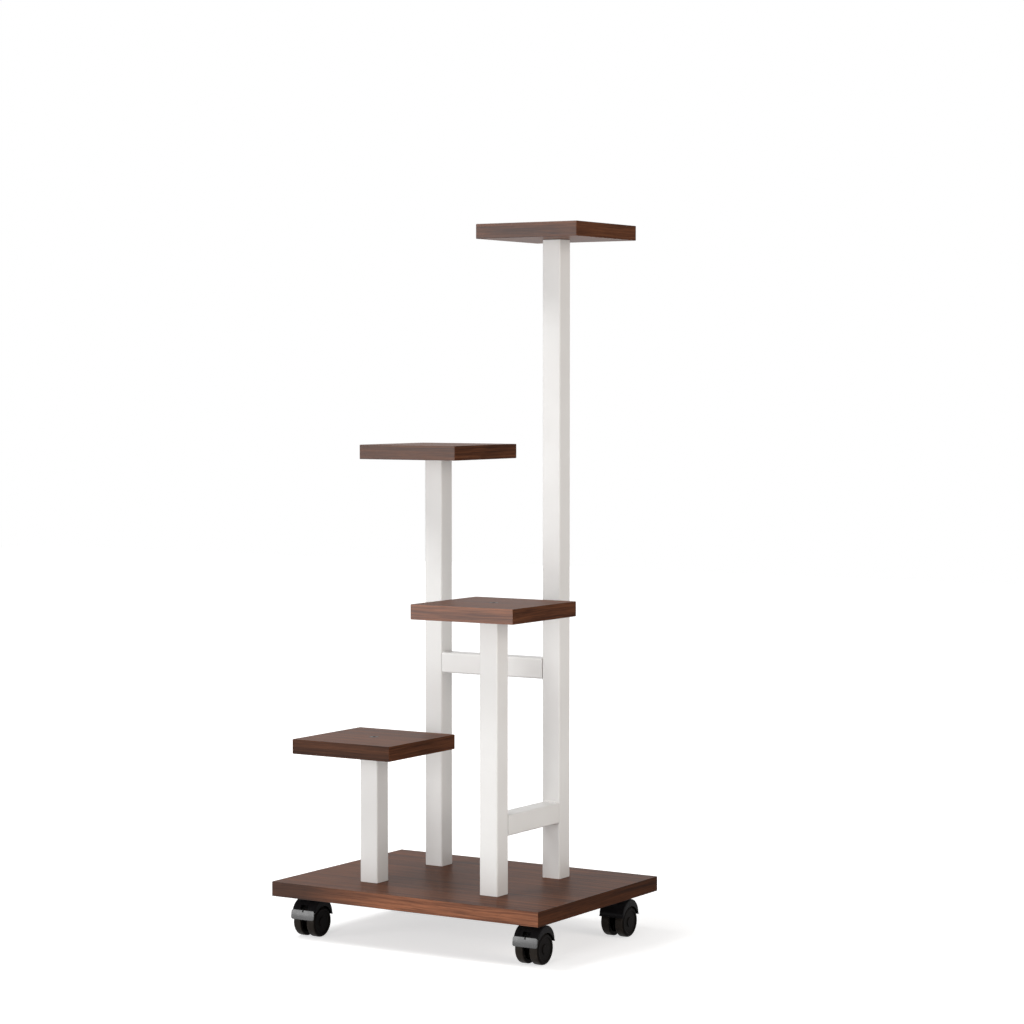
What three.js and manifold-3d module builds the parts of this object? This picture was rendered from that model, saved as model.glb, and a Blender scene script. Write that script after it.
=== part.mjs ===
// A tiered plant trolley: four square shelves at four heights, each carried by one square post
// on a common base board that rolls on four hooded twin-wheel swivel casters.
//
// Units are millimetres and +Z is up. X runs along the long side of the base and -Y faces the front.
// The origin is on the floor, under the middle of the base board.

import * as THREE from 'three';
import Module from 'manifold-3d';
import { mergeVertices } from 'three/addons/utils/BufferGeometryUtils.js';

const wasm = await Module();
wasm.setup();

// ---------------------------------------------------------------------------
// Driving dimensions
// ---------------------------------------------------------------------------

const BASE_WIDTH = 380;
const BASE_DEPTH = 280;
const SHELF_SIDE = 142;
const BOARD_THICKNESS = 18;
const BOARD_ARRIS = 0.8; // rounding of the long edges of every board
const BOARD_CORNER = 1.5; // rounding of a board's corners in plan

const CASTER_HEIGHT = 52; // floor to the underside of the base board
const BASE_TOP = CASTER_HEIGHT + BOARD_THICKNESS;

const POST_SIDE = 25;
const POST_WALL = 1.5;
const POST_CORNER = 2;
const POST_OFFSET_X = 86; // post axis from the middle of the base board
const POST_OFFSET_Y = 71;
const END_PLATE = 3; // threaded plate welded into each end of a post
const POST_SEAT = 0.5; // depth of the recess in the base board that a post stands in

// Each post, with the height of its shelf's top above the top of the base board.
const STEPS = [
  { name: 'front_left', x: -POST_OFFSET_X, y: -POST_OFFSET_Y, shelfTop: 176 },
  { name: 'front_right', x: POST_OFFSET_X, y: -POST_OFFSET_Y, shelfTop: 346 },
  { name: 'back_left', x: -POST_OFFSET_X, y: POST_OFFSET_Y, shelfTop: 528 },
  { name: 'back_right', x: POST_OFFSET_X, y: POST_OFFSET_Y, shelfTop: 796 },
];

const REAR_RAIL_HEIGHT = 256; // rail axis above the top of the base board
const SIDE_RAIL_HEIGHT = 81;

const FIT = 0.3; // clearance between parts that touch or are screwed together

// Casters: the wheel pair's axle stands at these places, and the swivel axis is nearer the middle.
const CASTER_OFFSET_X = 159;
const CASTER_OFFSET_Y = 99;
const CASTER_TRAIL = 8; // from the swivel axis to the axle
const CASTERS = [
  { name: 'front_left', x: -CASTER_OFFSET_X, y: -CASTER_OFFSET_Y, turn: 0, brake: true },
  { name: 'front_right', x: CASTER_OFFSET_X, y: -CASTER_OFFSET_Y, turn: 0, brake: true },
  { name: 'back_left', x: -CASTER_OFFSET_X, y: CASTER_OFFSET_Y, turn: Math.PI, brake: false },
  { name: 'back_right', x: CASTER_OFFSET_X, y: CASTER_OFFSET_Y, turn: Math.PI, brake: false },
];

const WHEEL_RADIUS = 18.5;
const WHEEL_INNER = 4.7; // inner and outer face of a wheel, from the caster's middle
const WHEEL_OUTER = 16;
const WHEEL_SEGMENTS = 18;
const WHEEL_RIM = { thickness: 4.6, shoulder: 3.4, crown: 1 };
const WHEEL_HUB = { radius: 6, capRadius: 6.2, capThickness: 1.6 };
const WHEEL_WEB = 2.9; // from the outer face in to the floor of the spoked hollow
const WHEEL_SPOKES = { count: 5, thickness: 1.2, depth: 5.6 };
const AXLE_RADIUS = 2.5;
const AXLE_HALF_LENGTH = 13.6;

const HOOD_HALF_WIDTH = 16.8;
const HOOD_RADIUS = 19.4;
const HOOD_CENTRE = 27; // height of the hood arc's centre
const HOOD_RIM = 25.5; // lower edge of the hood
const HOOD_WALL = 1.4;
const HOOD_EDGE = 1.4; // rounding between the hood's arc and its sides
const WHEEL_OPENING = 1; // how far the round opening in each side of the hood clears the wheel
const RIM_BEAD = { proud: 0.6, height: 1.8 };
const RIB = { halfWidth: 4.2, hubRadius: 6.5, back: 15.4, backFoot: 33 }; // middle rib that carries the axle

const PLATE = { side: 38, thickness: 2, corner: 4, bossRadius: 11, bossDepth: 1.2, holePitch: 28 };
const PLATE_SCREW = { radius: 1.75, length: 12, headRadius: 3.8, headHeight: 2.1, point: 4 };
const PLATE_BOTTOM = CASTER_HEIGHT - FIT - PLATE.thickness;
const SWIVEL_SEAT = PLATE_BOTTOM - PLATE.bossDepth;

const SWIVEL_PAD = { radius: 8.5, top: SWIVEL_SEAT - FIT };
const SWIVEL_BOSS = { radius: 6.4, bottom: 37.3 };
const KINGPIN = { radius: 3.4, headRadius: 5, headThickness: 1.6 };

// Brake pedal: a visor that closes the hood's front, a neck back to a shoe bar over both treads, and a
// tongue from there to the pivot. Heights are above the floor, and y is from the axle.
const PEDAL_PIVOT = { y: -8, z: 30.5 };
const PEDAL_PIN_RADIUS = 1;
const PEDAL_EYE_RADIUS = 2.2;
const VISOR = { halfWidth: 16.8, back: -19, front: -21.1, top: 34.2, crest: 31.2, bottom: 22.6 };
const VISOR_WALL = 1.5;
const VISOR_CORNER = 2;
const VISOR_NICK = { halfWidth: 0.9, bottom: 31.6 }; // the small slot in the middle of the visor's top edge
const NECK = { halfWidth: 4.5, back: -14.6, bottom: 29, top: 31.2 };
const SHOE = { halfWidth: 14.8, inner: 19.2, outer: 21, from: 36, to: 56 }; // radii, then degrees
const TONGUE = { halfWidth: 2, front: -14.8, bottom: 28.8, top: 33 };
const FRONT_CUT = { back: -14, top: 31.8 }; // where the hood's front wall makes room for the visor
const NOTCH = { halfWidth: 5.5, top: 40, depth: 6 };

const BASE_BOLT = { radius: 3, headRadius: 6, headHeight: 3.6, recess: 6, recessRadius: 7.5, reach: 24 };
const BOLT_CHAMFER = 0.8; // at the point of every bolt
const SHELF_SCREW = { radius: 3, headRadius: 6, headDepth: 3.4, length: 25 };
const HEX_SOCKET = { acrossFlats: 4, depth: 2.2 };

// ---------------------------------------------------------------------------
// Finishes
// ---------------------------------------------------------------------------

const walnut = new THREE.MeshStandardMaterial({ color: 0x5b4032, roughness: 0.5, metalness: 0 });
const whiteCoat = new THREE.MeshStandardMaterial({ color: 0xe9e8e6, roughness: 0.45, metalness: 0 });
const blackPlastic = new THREE.MeshStandardMaterial({ color: 0x17171a, roughness: 0.3, metalness: 0 });
const wheelPlastic = new THREE.MeshStandardMaterial({ color: 0x1d1c1d, roughness: 0.5, metalness: 0 });
const zincSteel = new THREE.MeshStandardMaterial({ color: 0xb4b6b8, roughness: 0.35, metalness: 1 });
const blackSteel = new THREE.MeshStandardMaterial({ color: 0x242426, roughness: 0.4, metalness: 1 });

// ---------------------------------------------------------------------------
// Solids: closed meshes that can be joined and cut
// ---------------------------------------------------------------------------

/** A closed geometry as a solid. */
function solid(geometry) {
  const bare = geometry.clone();
  bare.deleteAttribute('normal');
  bare.deleteAttribute('uv');
  const merged = mergeVertices(bare, 1e-4);
  return new wasm.Manifold(
    new wasm.Mesh({
      numProp: 3,
      vertProperties: new Float32Array(merged.attributes.position.array),
      triVerts: new Uint32Array(merged.index.array),
    }),
  );
}

/** A solid's surface as a flat-shaded geometry. */
function surface(body) {
  const mesh = body.getMesh();
  const geometry = new THREE.BufferGeometry();
  geometry.setAttribute('position', new THREE.BufferAttribute(new Float32Array(mesh.vertProperties), 3));
  geometry.setIndex(new THREE.BufferAttribute(new Uint32Array(mesh.triVerts), 1));
  const flat = geometry.toNonIndexed();
  flat.computeVertexNormals();
  return flat;
}

/** A box between two corners. */
function block(low, high) {
  const size = [0, 1, 2].map((i) => high[i] - low[i]);
  const middle = [0, 1, 2].map((i) => (high[i] + low[i]) / 2);
  return solid(new THREE.BoxGeometry(...size).translate(...middle));
}

/** An upright cylinder, centred at x, y, from height low to high. */
function upright(radius, low, high, x = 0, y = 0, segments = 20) {
  const geometry = new THREE.CylinderGeometry(radius, radius, high - low, segments);
  return solid(geometry.rotateX(Math.PI / 2).translate(x, y, (low + high) / 2));
}

/** A cylinder along X, centred at y, z. */
function crosswise(radius, halfLength, y, z, segments = 14) {
  const geometry = new THREE.CylinderGeometry(radius, radius, 2 * halfLength, segments);
  return solid(geometry.rotateZ(Math.PI / 2).translate(0, y, z));
}

/** A body turned about Z from [radius, height] points, which start and end on the axis, bottom first. */
function turned(points, segments) {
  const profile = points.map(([radius, height]) => new THREE.Vector2(radius, height));
  return new THREE.LatheGeometry(profile, segments).rotateX(Math.PI / 2);
}

/** Carries a shape drawn in (y, z) and extruded forward into the part's frame, its extrusion along X. */
const SIDEWAYS = new THREE.Matrix4().makeBasis(
  new THREE.Vector3(0, 1, 0),
  new THREE.Vector3(0, 0, 1),
  new THREE.Vector3(1, 0, 0),
);

/** Extrudes a (y, z) outline along X, centred, with its end edges rounded by the given radius. */
function acrossX(shape, halfWidth, rounding = 0, bevelSegments = 1) {
  const geometry = new THREE.ExtrudeGeometry(shape, {
    depth: 2 * (halfWidth - rounding),
    curveSegments: 6,
    bevelEnabled: rounding > 0,
    bevelThickness: rounding,
    bevelSize: rounding,
    bevelOffset: -rounding,
    bevelSegments,
  });
  return solid(geometry.translate(0, 0, rounding - halfWidth).applyMatrix4(SIDEWAYS));
}

/** A rectangle with rounded corners, centred on the origin. */
function roundedRectangle(width, depth, radius) {
  const [x, y] = [width / 2, depth / 2];
  const shape = new THREE.Shape();
  shape.moveTo(-x + radius, -y);
  shape.lineTo(x - radius, -y);
  shape.absarc(x - radius, -y + radius, radius, -Math.PI / 2, 0);
  shape.lineTo(x, y - radius);
  shape.absarc(x - radius, y - radius, radius, 0, Math.PI / 2);
  shape.lineTo(-x + radius, y);
  shape.absarc(-x + radius, y - radius, radius, Math.PI / 2, Math.PI);
  shape.lineTo(-x, -y + radius);
  shape.absarc(-x + radius, -y + radius, radius, Math.PI, 1.5 * Math.PI);
  return shape;
}

/** Subtracts every cutter from a body. */
function cut(body, ...cutters) {
  return cutters.reduce((rest, cutter) => rest.subtract(cutter), body);
}

const object = new THREE.Group();

/** Adds a piece to a group as a named mesh. */
function addPiece(group, name, geometry, material, position = [0, 0, 0]) {
  const mesh = new THREE.Mesh(geometry, material);
  mesh.name = name;
  mesh.position.set(...position);
  group.add(mesh);
}

// ---------------------------------------------------------------------------
// Boards: the base and the four shelves
// ---------------------------------------------------------------------------

/** A board lying flat, its underside at z = 0, with its edges softened. */
function board(width, depth) {
  const geometry = new THREE.ExtrudeGeometry(roundedRectangle(width, depth, BOARD_CORNER), {
    depth: BOARD_THICKNESS - 2 * BOARD_ARRIS,
    curveSegments: 1,
    bevelThickness: BOARD_ARRIS,
    bevelSize: BOARD_ARRIS,
    bevelOffset: -BOARD_ARRIS,
    bevelSegments: 1,
  });
  return solid(geometry.translate(0, 0, BOARD_ARRIS));
}

/** The signs of the four corners of a square. */
const CORNERS = [[-1, -1], [1, -1], [1, 1], [-1, 1]];

/** Where a caster's swivel axis stands on the base. */
function swivelAxis(caster) {
  return { x: caster.x, y: caster.y + CASTER_TRAIL * Math.cos(caster.turn) };
}

/** The four corners of a caster plate's screw pattern, round its swivel axis. */
function screwPlaces(caster) {
  const axis = swivelAxis(caster);
  const half = PLATE.holePitch / 2;
  return CORNERS.map(([i, j]) => [axis.x + i * half, axis.y + j * half]);
}

function baseBoard() {
  const holes = [];
  const seat = POST_SIDE / 2 + FIT;
  for (const step of STEPS) {
    holes.push(block(
      [step.x - seat, step.y - seat, BOARD_THICKNESS - POST_SEAT],
      [step.x + seat, step.y + seat, BOARD_THICKNESS + 1],
    ));
    holes.push(upright(BASE_BOLT.radius + FIT, -1, BOARD_THICKNESS + 1, step.x, step.y, 10));
    holes.push(upright(BASE_BOLT.recessRadius, -1, BASE_BOLT.recess, step.x, step.y, 12));
  }
  for (const caster of CASTERS) {
    for (const [x, y] of screwPlaces(caster)) {
      holes.push(upright(PLATE_SCREW.radius + FIT, -1, PLATE_SCREW.length, x, y, 6));
    }
  }
  return surface(cut(board(BASE_WIDTH, BASE_DEPTH), ...holes));
}

function shelfBoard() {
  const throughHole = upright(SHELF_SCREW.radius + FIT, -1, BOARD_THICKNESS + 1, 0, 0, 14);
  const reach = SHELF_SCREW.headDepth + 1;
  const slope = (SHELF_SCREW.headRadius - SHELF_SCREW.radius) / SHELF_SCREW.headDepth;
  const countersink = new THREE.CylinderGeometry(
    SHELF_SCREW.headRadius + FIT + slope,
    SHELF_SCREW.headRadius + FIT + slope * (1 - reach),
    reach,
    14,
  );
  countersink.rotateX(Math.PI / 2).translate(0, 0, BOARD_THICKNESS + 1 - reach / 2);
  return surface(cut(board(SHELF_SIDE, SHELF_SIDE), throughHole, solid(countersink)));
}

// ---------------------------------------------------------------------------
// Steel frame: four square posts and the two rails between them
// ---------------------------------------------------------------------------

/** The outline of the square tube, or of its bore. */
function tubeOutline(wallsIn = 0) {
  const side = POST_SIDE - 2 * wallsIn;
  return roundedRectangle(side, side, POST_CORNER - Math.min(wallsIn, POST_CORNER - 0.5));
}

/** A length of square tube from z = 0, open at both ends. */
function tube(length) {
  const section = tubeOutline();
  section.holes.push(tubeOutline(POST_WALL));
  return new THREE.ExtrudeGeometry(section, { depth: length, curveSegments: 1, bevelEnabled: false });
}

/** A post with a threaded plate welded into each end. */
function post(length) {
  const flat = { curveSegments: 1, bevelEnabled: false };
  const outside = solid(new THREE.ExtrudeGeometry(tubeOutline(), { depth: length, ...flat }));
  const bore = new THREE.ExtrudeGeometry(tubeOutline(POST_WALL), { depth: length - 2 * END_PLATE, ...flat });
  const threads = upright(BASE_BOLT.radius + FIT, -1, length + 1, 0, 0, 10);
  return surface(cut(outside, solid(bore.translate(0, 0, END_PLATE)), threads));
}

/** The rear rail joins the two back posts, flush with their front faces. */
function rearRail() {
  const span = 2 * POST_OFFSET_X - POST_SIDE - 2 * FIT;
  return tube(span).rotateY(Math.PI / 2).translate(-span / 2, POST_OFFSET_Y, BASE_TOP + REAR_RAIL_HEIGHT);
}

/** The side rail joins the two right posts, low down. */
function sideRail() {
  const span = 2 * POST_OFFSET_Y - POST_SIDE - 2 * FIT;
  return tube(span).rotateX(-Math.PI / 2).translate(POST_OFFSET_X, -span / 2, BASE_TOP + SIDE_RAIL_HEIGHT);
}

// ---------------------------------------------------------------------------
// Fasteners
// ---------------------------------------------------------------------------

/** A hexagonal socket to cut into a bolt head, open at z = 0 and running up into it. */
function hexSocket(depth) {
  const radius = HEX_SOCKET.acrossFlats / Math.sqrt(3);
  return upright(radius, -1, depth, 0, 0, 6);
}

/** The bolt that draws a post down onto the base: button head below, shank upwards, head face at z = 0. */
function baseBolt() {
  const { radius, headRadius, headHeight, reach } = BASE_BOLT;
  const profile = [
    [0, 0], [headRadius * 0.6, 0], [headRadius * 0.9, headHeight * 0.35], [headRadius, headHeight],
    [radius, headHeight], [radius, headHeight + reach - BOLT_CHAMFER],
    [radius - BOLT_CHAMFER, headHeight + reach], [0, headHeight + reach],
  ];
  return surface(cut(solid(turned(profile, 14)), hexSocket(HEX_SOCKET.depth)));
}

/** The countersunk screw that holds a shelf down on its post, head face up at z = 0. */
function shelfScrew() {
  const { radius, headRadius, headDepth, length } = SHELF_SCREW;
  const profile = [
    [0, -length], [radius - BOLT_CHAMFER, -length], [radius, BOLT_CHAMFER - length], [radius, -headDepth],
    [headRadius, 0], [0, 0],
  ];
  const socket = hexSocket(HEX_SOCKET.depth).mirror([0, 0, 1]);
  return surface(cut(solid(turned(profile, 14)), socket));
}

/** A pan-head wood screw pointing up, the seat of its head at z = 0. */
function plateScrew() {
  const { radius, length, headRadius, headHeight, point } = PLATE_SCREW;
  const profile = [
    [0, -headHeight], [headRadius * 0.7, -headHeight * 0.85], [headRadius, 0], [radius, 0],
    [radius, length - point], [0, length - FIT],
  ];
  return turned(profile, 8);
}

// ---------------------------------------------------------------------------
// Casters. Each is drawn about its own wheel pair: the axle lies along X over the origin, the swivel
// axis is CASTER_TRAIL behind it (+Y), and the brake pedal is in front (-Y).
// ---------------------------------------------------------------------------

/** The steel mounting plate, with the dished swivel seat and the kingpin riveted into it. */
function mountingPlate() {
  const top = PLATE_BOTTOM + PLATE.thickness;
  const sheet = new THREE.ExtrudeGeometry(roundedRectangle(PLATE.side, PLATE.side, PLATE.corner), {
    depth: PLATE.thickness,
    curveSegments: 2,
    bevelEnabled: false,
  });
  const half = PLATE.holePitch / 2;
  const holes = CORNERS.map(([i, j]) =>
    upright(PLATE_SCREW.radius + FIT, PLATE_BOTTOM - 1, top + 1, i * half, j * half, 8));
  const { radius, headRadius, headThickness } = KINGPIN;
  const headTop = SWIVEL_BOSS.bottom - FIT;
  const headBottom = headTop - headThickness;
  const seatAndPin = [
    [0, headBottom], [headRadius * 0.8, headBottom], [headRadius, headTop], [radius, headTop],
    [radius, SWIVEL_SEAT], [PLATE.bossRadius - 1, SWIVEL_SEAT],
    [PLATE.bossRadius, PLATE_BOTTOM + 1], [0, PLATE_BOTTOM + 1],
  ];
  const drilled = cut(solid(sheet.translate(0, 0, PLATE_BOTTOM)), ...holes);
  return surface(drilled.add(solid(turned(seatAndPin, 16))));
}

/** The hood's side outline in (y, z), grown by an offset, running on below the rim where it is cut off. */
function hoodOutline(offset) {
  const radius = HOOD_RADIUS + offset;
  const shape = new THREE.Shape();
  shape.moveTo(radius, WHEEL_RADIUS);
  shape.lineTo(radius, HOOD_CENTRE);
  shape.absarc(0, HOOD_CENTRE, radius, 0, Math.PI);
  shape.lineTo(-radius, WHEEL_RADIUS);
  return shape;
}

/** The middle rib in (y, z): a hub round the axle, a lug for the pedal's pin and a web up to the roof. */
function ribOutline() {
  const roof = HOOD_CENTRE + HOOD_RADIUS;
  const lugRadius = PEDAL_EYE_RADIUS + FIT;
  const front = PEDAL_PIVOT.y + lugRadius / 2;
  const shape = new THREE.Shape();
  shape.absarc(0, WHEEL_RADIUS, RIB.hubRadius, Math.PI, 2 * Math.PI);
  shape.lineTo(RIB.back, RIB.backFoot);
  shape.lineTo(RIB.back, roof);
  shape.lineTo(front, roof);
  shape.lineTo(front, PEDAL_PIVOT.z + 1.5 * lugRadius);
  shape.absarc(PEDAL_PIVOT.y, PEDAL_PIVOT.z, lugRadius, Math.PI / 3, Math.PI * 1.05);
  return shape;
}

/** The moulded hood: an arched shell over both wheels, with its rim bead, swivel boss and middle rib. */
function hood(brake) {
  const outside = acrossX(hoodOutline(0), HOOD_HALF_WIDTH, HOOD_EDGE, 2);
  const inside = acrossX(hoodOutline(-HOOD_WALL), HOOD_HALF_WIDTH - HOOD_WALL);
  const bead = acrossX(hoodOutline(RIM_BEAD.proud), HOOD_HALF_WIDTH + RIM_BEAD.proud, HOOD_EDGE);
  const reach = 2 * HOOD_RADIUS;
  const belowRim = block([-reach, -reach, 0], [reach, reach, HOOD_RIM]);
  const aboveBead = block([-reach, -reach, HOOD_RIM + RIM_BEAD.height], [reach, reach, CASTER_HEIGHT]);
  const shell = cut(outside.add(cut(bead, aboveBead)), inside, belowRim);

  const ribBounds = outside.add(acrossX(hubDisc(), RIB.halfWidth));
  const rib = acrossX(ribOutline(), RIB.halfWidth).intersect(ribBounds);
  const boss = upright(SWIVEL_BOSS.radius, SWIVEL_BOSS.bottom, SWIVEL_PAD.top, 0, CASTER_TRAIL, 12);
  const pad = upright(SWIVEL_PAD.radius, HOOD_CENTRE, SWIVEL_PAD.top, 0, CASTER_TRAIL, 12);
  const padOutside = cut(pad, inside);
  const headSpace = KINGPIN.headRadius + 2 * FIT;
  const headPocket = block(
    [-headSpace, CASTER_TRAIL - headSpace, SWIVEL_BOSS.bottom - KINGPIN.headThickness - 4 * FIT],
    [headSpace, CASTER_TRAIL + headSpace, SWIVEL_BOSS.bottom],
  );
  const pinRadius = KINGPIN.radius + FIT;
  const pinHole = upright(pinRadius, SWIVEL_BOSS.bottom - 1, SWIVEL_PAD.top + 1, 0, CASTER_TRAIL, 12);
  const axleHole = crosswise(AXLE_RADIUS + FIT, RIB.halfWidth + 1, 0, WHEEL_RADIUS, 10);
  const openShell = cut(shell, ...wheelOpenings());
  const housing = cut(openShell.add(rib).add(boss).add(padOutside), headPocket, pinHole, axleHole);
  return surface(brake ? cut(housing, ...pedalOpenings()) : housing);
}

/** The round openings in the hood's two sides, about the axle, that leave the wheels' faces bare. */
function wheelOpenings() {
  const halfLength = HOOD_WALL + RIM_BEAD.proud + FIT;
  const opening = crosswise(WHEEL_RADIUS + WHEEL_OPENING, halfLength, 0, WHEEL_RADIUS, 28);
  const middle = HOOD_HALF_WIDTH - HOOD_WALL - FIT + halfLength;
  return [opening.translate(middle, 0, 0), opening.translate(-middle, 0, 0)];
}

/** The rib's hub, which hangs below the hood's rim between the wheels. */
function hubDisc() {
  const shape = new THREE.Shape();
  shape.moveTo(HOOD_RADIUS, HOOD_CENTRE);
  shape.lineTo(-HOOD_RADIUS, HOOD_CENTRE);
  shape.lineTo(-RIB.hubRadius, WHEEL_RADIUS);
  shape.absarc(0, WHEEL_RADIUS, RIB.hubRadius, Math.PI, 2 * Math.PI);
  return shape;
}

/** What the pedal needs cut from a hood: the front wall's foot, a notch, the rib's slot and a pin hole. */
function pedalOpenings() {
  const front = -HOOD_RADIUS - 2;
  const side = HOOD_HALF_WIDTH + 2;
  const foot = block([-side, front, HOOD_RIM - 1], [side, FRONT_CUT.back, FRONT_CUT.top]);
  const notchBack = NOTCH.depth - HOOD_RADIUS;
  const notch = block([-NOTCH.halfWidth, front, HOOD_RIM - 1], [NOTCH.halfWidth, notchBack, NOTCH.top]);
  const slotHalfWidth = TONGUE.halfWidth + FIT;
  const room = PEDAL_EYE_RADIUS + 3 * FIT;
  const slot = block(
    [-slotHalfWidth, front, PEDAL_PIVOT.z - room],
    [slotHalfWidth, PEDAL_PIVOT.y + room, PEDAL_PIVOT.z + 1.5 * room],
  );
  const pinHole = crosswise(PEDAL_PIN_RADIUS + FIT, RIB.halfWidth + 1, PEDAL_PIVOT.y, PEDAL_PIVOT.z, 10);
  return [foot, notch, slot, pinHole];
}

/** A point in (y, z) at a distance from the axle, at an angle above the level line to the front. */
function fromAxle(radius, degrees) {
  const angle = THREE.MathUtils.degToRad(degrees);
  return [-radius * Math.cos(angle), WHEEL_RADIUS + radius * Math.sin(angle)];
}

/** The pedal's visor: a curved sheet that closes the hood's front, with rounded corners and a nick on top. */
function visor() {
  const { halfWidth, back, front, top, crest, bottom } = VISOR;
  const section = new THREE.Shape();
  section.moveTo(back, top);
  section.quadraticCurveTo(front, top, front, crest);
  section.lineTo(front, bottom);
  section.lineTo(front + VISOR_WALL, bottom);
  section.lineTo(front + VISOR_WALL, crest);
  section.quadraticCurveTo(front + VISOR_WALL, top - VISOR_WALL, back, top - VISOR_WALL);
  const frontView = new THREE.ExtrudeGeometry(
    roundedRectangle(2 * halfWidth, top - bottom + FIT, VISOR_CORNER),
    { depth: -2 * front, curveSegments: 3, bevelEnabled: false },
  );
  frontView.rotateX(Math.PI / 2).translate(0, 0, (top + bottom) / 2);
  const nick = block(
    [-VISOR_NICK.halfWidth, front - 1, VISOR_NICK.bottom],
    [VISOR_NICK.halfWidth, back + 1, top + 1],
  );
  return cut(acrossX(section, halfWidth).intersect(solid(frontView)), nick);
}

/** The brake pedal: the visor outside the hood, and inside it the shoe over both treads and the pivot eye. */
function brakePedal() {
  const { inner, outer, from, to } = SHOE;
  const shoe = new THREE.Shape();
  shoe.moveTo(...fromAxle(inner, from));
  shoe.lineTo(...fromAxle(inner, (from + to) / 2));
  shoe.lineTo(...fromAxle(inner, to));
  shoe.lineTo(...fromAxle(outer, to));
  shoe.lineTo(...fromAxle(outer, from));

  const neck = block(
    [-NECK.halfWidth, VISOR.front + VISOR_WALL / 2, NECK.bottom],
    [NECK.halfWidth, NECK.back, NECK.top],
  );
  const tongue = new THREE.Shape();
  tongue.moveTo(TONGUE.front, TONGUE.bottom);
  tongue.lineTo(PEDAL_PIVOT.y, PEDAL_PIVOT.z - PEDAL_EYE_RADIUS);
  tongue.lineTo(PEDAL_PIVOT.y, PEDAL_PIVOT.z + PEDAL_EYE_RADIUS);
  tongue.lineTo(TONGUE.front, TONGUE.top);

  const eye = crosswise(PEDAL_EYE_RADIUS, TONGUE.halfWidth, PEDAL_PIVOT.y, PEDAL_PIVOT.z, 12);
  const pinHole = crosswise(PEDAL_PIN_RADIUS + FIT, 2 * TONGUE.halfWidth, PEDAL_PIVOT.y, PEDAL_PIVOT.z, 10);
  const bars = [neck, acrossX(shoe, SHOE.halfWidth), acrossX(tongue, TONGUE.halfWidth), eye];
  return surface(cut(bars.reduce((body, bar) => body.add(bar), visor()), pinHole));
}

/** The steel pin that the pedal turns on. */
function pedalPin() {
  return surface(crosswise(PEDAL_PIN_RADIUS, RIB.halfWidth, PEDAL_PIVOT.y, PEDAL_PIVOT.z, 10));
}

/** The axle, pressed through the rib, with a wheel on each end. */
function axle() {
  return surface(crosswise(AXLE_RADIUS, AXLE_HALF_LENGTH, 0, WHEEL_RADIUS, 10));
}

/** The right wheel: a crowned tread, a dished outer face with a hub cap, and a spoked hollow behind it. */
function wheel() {
  const { thickness, shoulder, crown } = WHEEL_RIM;
  const bore = AXLE_RADIUS + FIT;
  const boreEnd = WHEEL_OUTER - WHEEL_HUB.capThickness;
  const hollowRadius = WHEEL_RADIUS - thickness;
  const hollowFloor = WHEEL_OUTER - WHEEL_WEB;
  const dish = WHEEL_OUTER - 1;
  const profile = [
    [0, boreEnd], [bore, boreEnd], [bore, WHEEL_INNER],
    [WHEEL_HUB.radius, WHEEL_INNER], [WHEEL_HUB.radius, hollowFloor], [hollowRadius, hollowFloor],
    [hollowRadius, WHEEL_INNER], [WHEEL_RADIUS - crown, WHEEL_INNER], [WHEEL_RADIUS, WHEEL_INNER + crown],
    [WHEEL_RADIUS, WHEEL_OUTER - shoulder], [WHEEL_RADIUS - crown, WHEEL_OUTER - crown],
    [WHEEL_RADIUS - shoulder, WHEEL_OUTER], [hollowRadius - 1, dish], [WHEEL_HUB.capRadius, dish],
    [WHEEL_HUB.capRadius - 1, WHEEL_OUTER], [0, WHEEL_OUTER],
  ];
  const blank = solid(turned(profile, WHEEL_SEGMENTS));
  const spokeLength = hollowRadius - WHEEL_HUB.radius + 1;
  const spokes = [];
  for (let i = 0; i < WHEEL_SPOKES.count; i += 1) {
    const spoke = new THREE.BoxGeometry(spokeLength, WHEEL_SPOKES.thickness, WHEEL_SPOKES.depth);
    spoke.translate((WHEEL_HUB.radius + hollowRadius) / 2, 0, hollowFloor - WHEEL_SPOKES.depth / 2 + FIT);
    spokes.push(solid(spoke.rotateZ((i * 2 * Math.PI) / WHEEL_SPOKES.count)));
  }
  const turnedWheel = spokes.reduce((body, spoke) => body.add(spoke), blank);
  return surface(turnedWheel).rotateY(Math.PI / 2).translate(0, 0, WHEEL_RADIUS);
}

// ---------------------------------------------------------------------------
// Assembly
// ---------------------------------------------------------------------------

addPiece(object, 'base_board', baseBoard(), walnut, [0, 0, CASTER_HEIGHT]);

const shelf = shelfBoard();
const bolt = baseBolt();
const screw = shelfScrew();
for (const step of STEPS) {
  const shelfUnderside = BASE_TOP + step.shelfTop - BOARD_THICKNESS;
  const postFoot = BASE_TOP - POST_SEAT + FIT;
  const postLength = shelfUnderside - FIT - postFoot;
  const boltHead = CASTER_HEIGHT + BASE_BOLT.recess - BASE_BOLT.headHeight - FIT;
  addPiece(object, `post_${step.name}`, post(postLength), whiteCoat, [step.x, step.y, postFoot]);
  addPiece(object, `shelf_${step.name}`, shelf, walnut, [step.x, step.y, shelfUnderside]);
  addPiece(object, `base_bolt_${step.name}`, bolt, zincSteel, [step.x, step.y, boltHead]);
  addPiece(object, `shelf_screw_${step.name}`, screw, blackSteel, [step.x, step.y, BASE_TOP + step.shelfTop]);
}

addPiece(object, 'rear_rail', rearRail(), whiteCoat);
addPiece(object, 'side_rail', sideRail(), whiteCoat);

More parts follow.
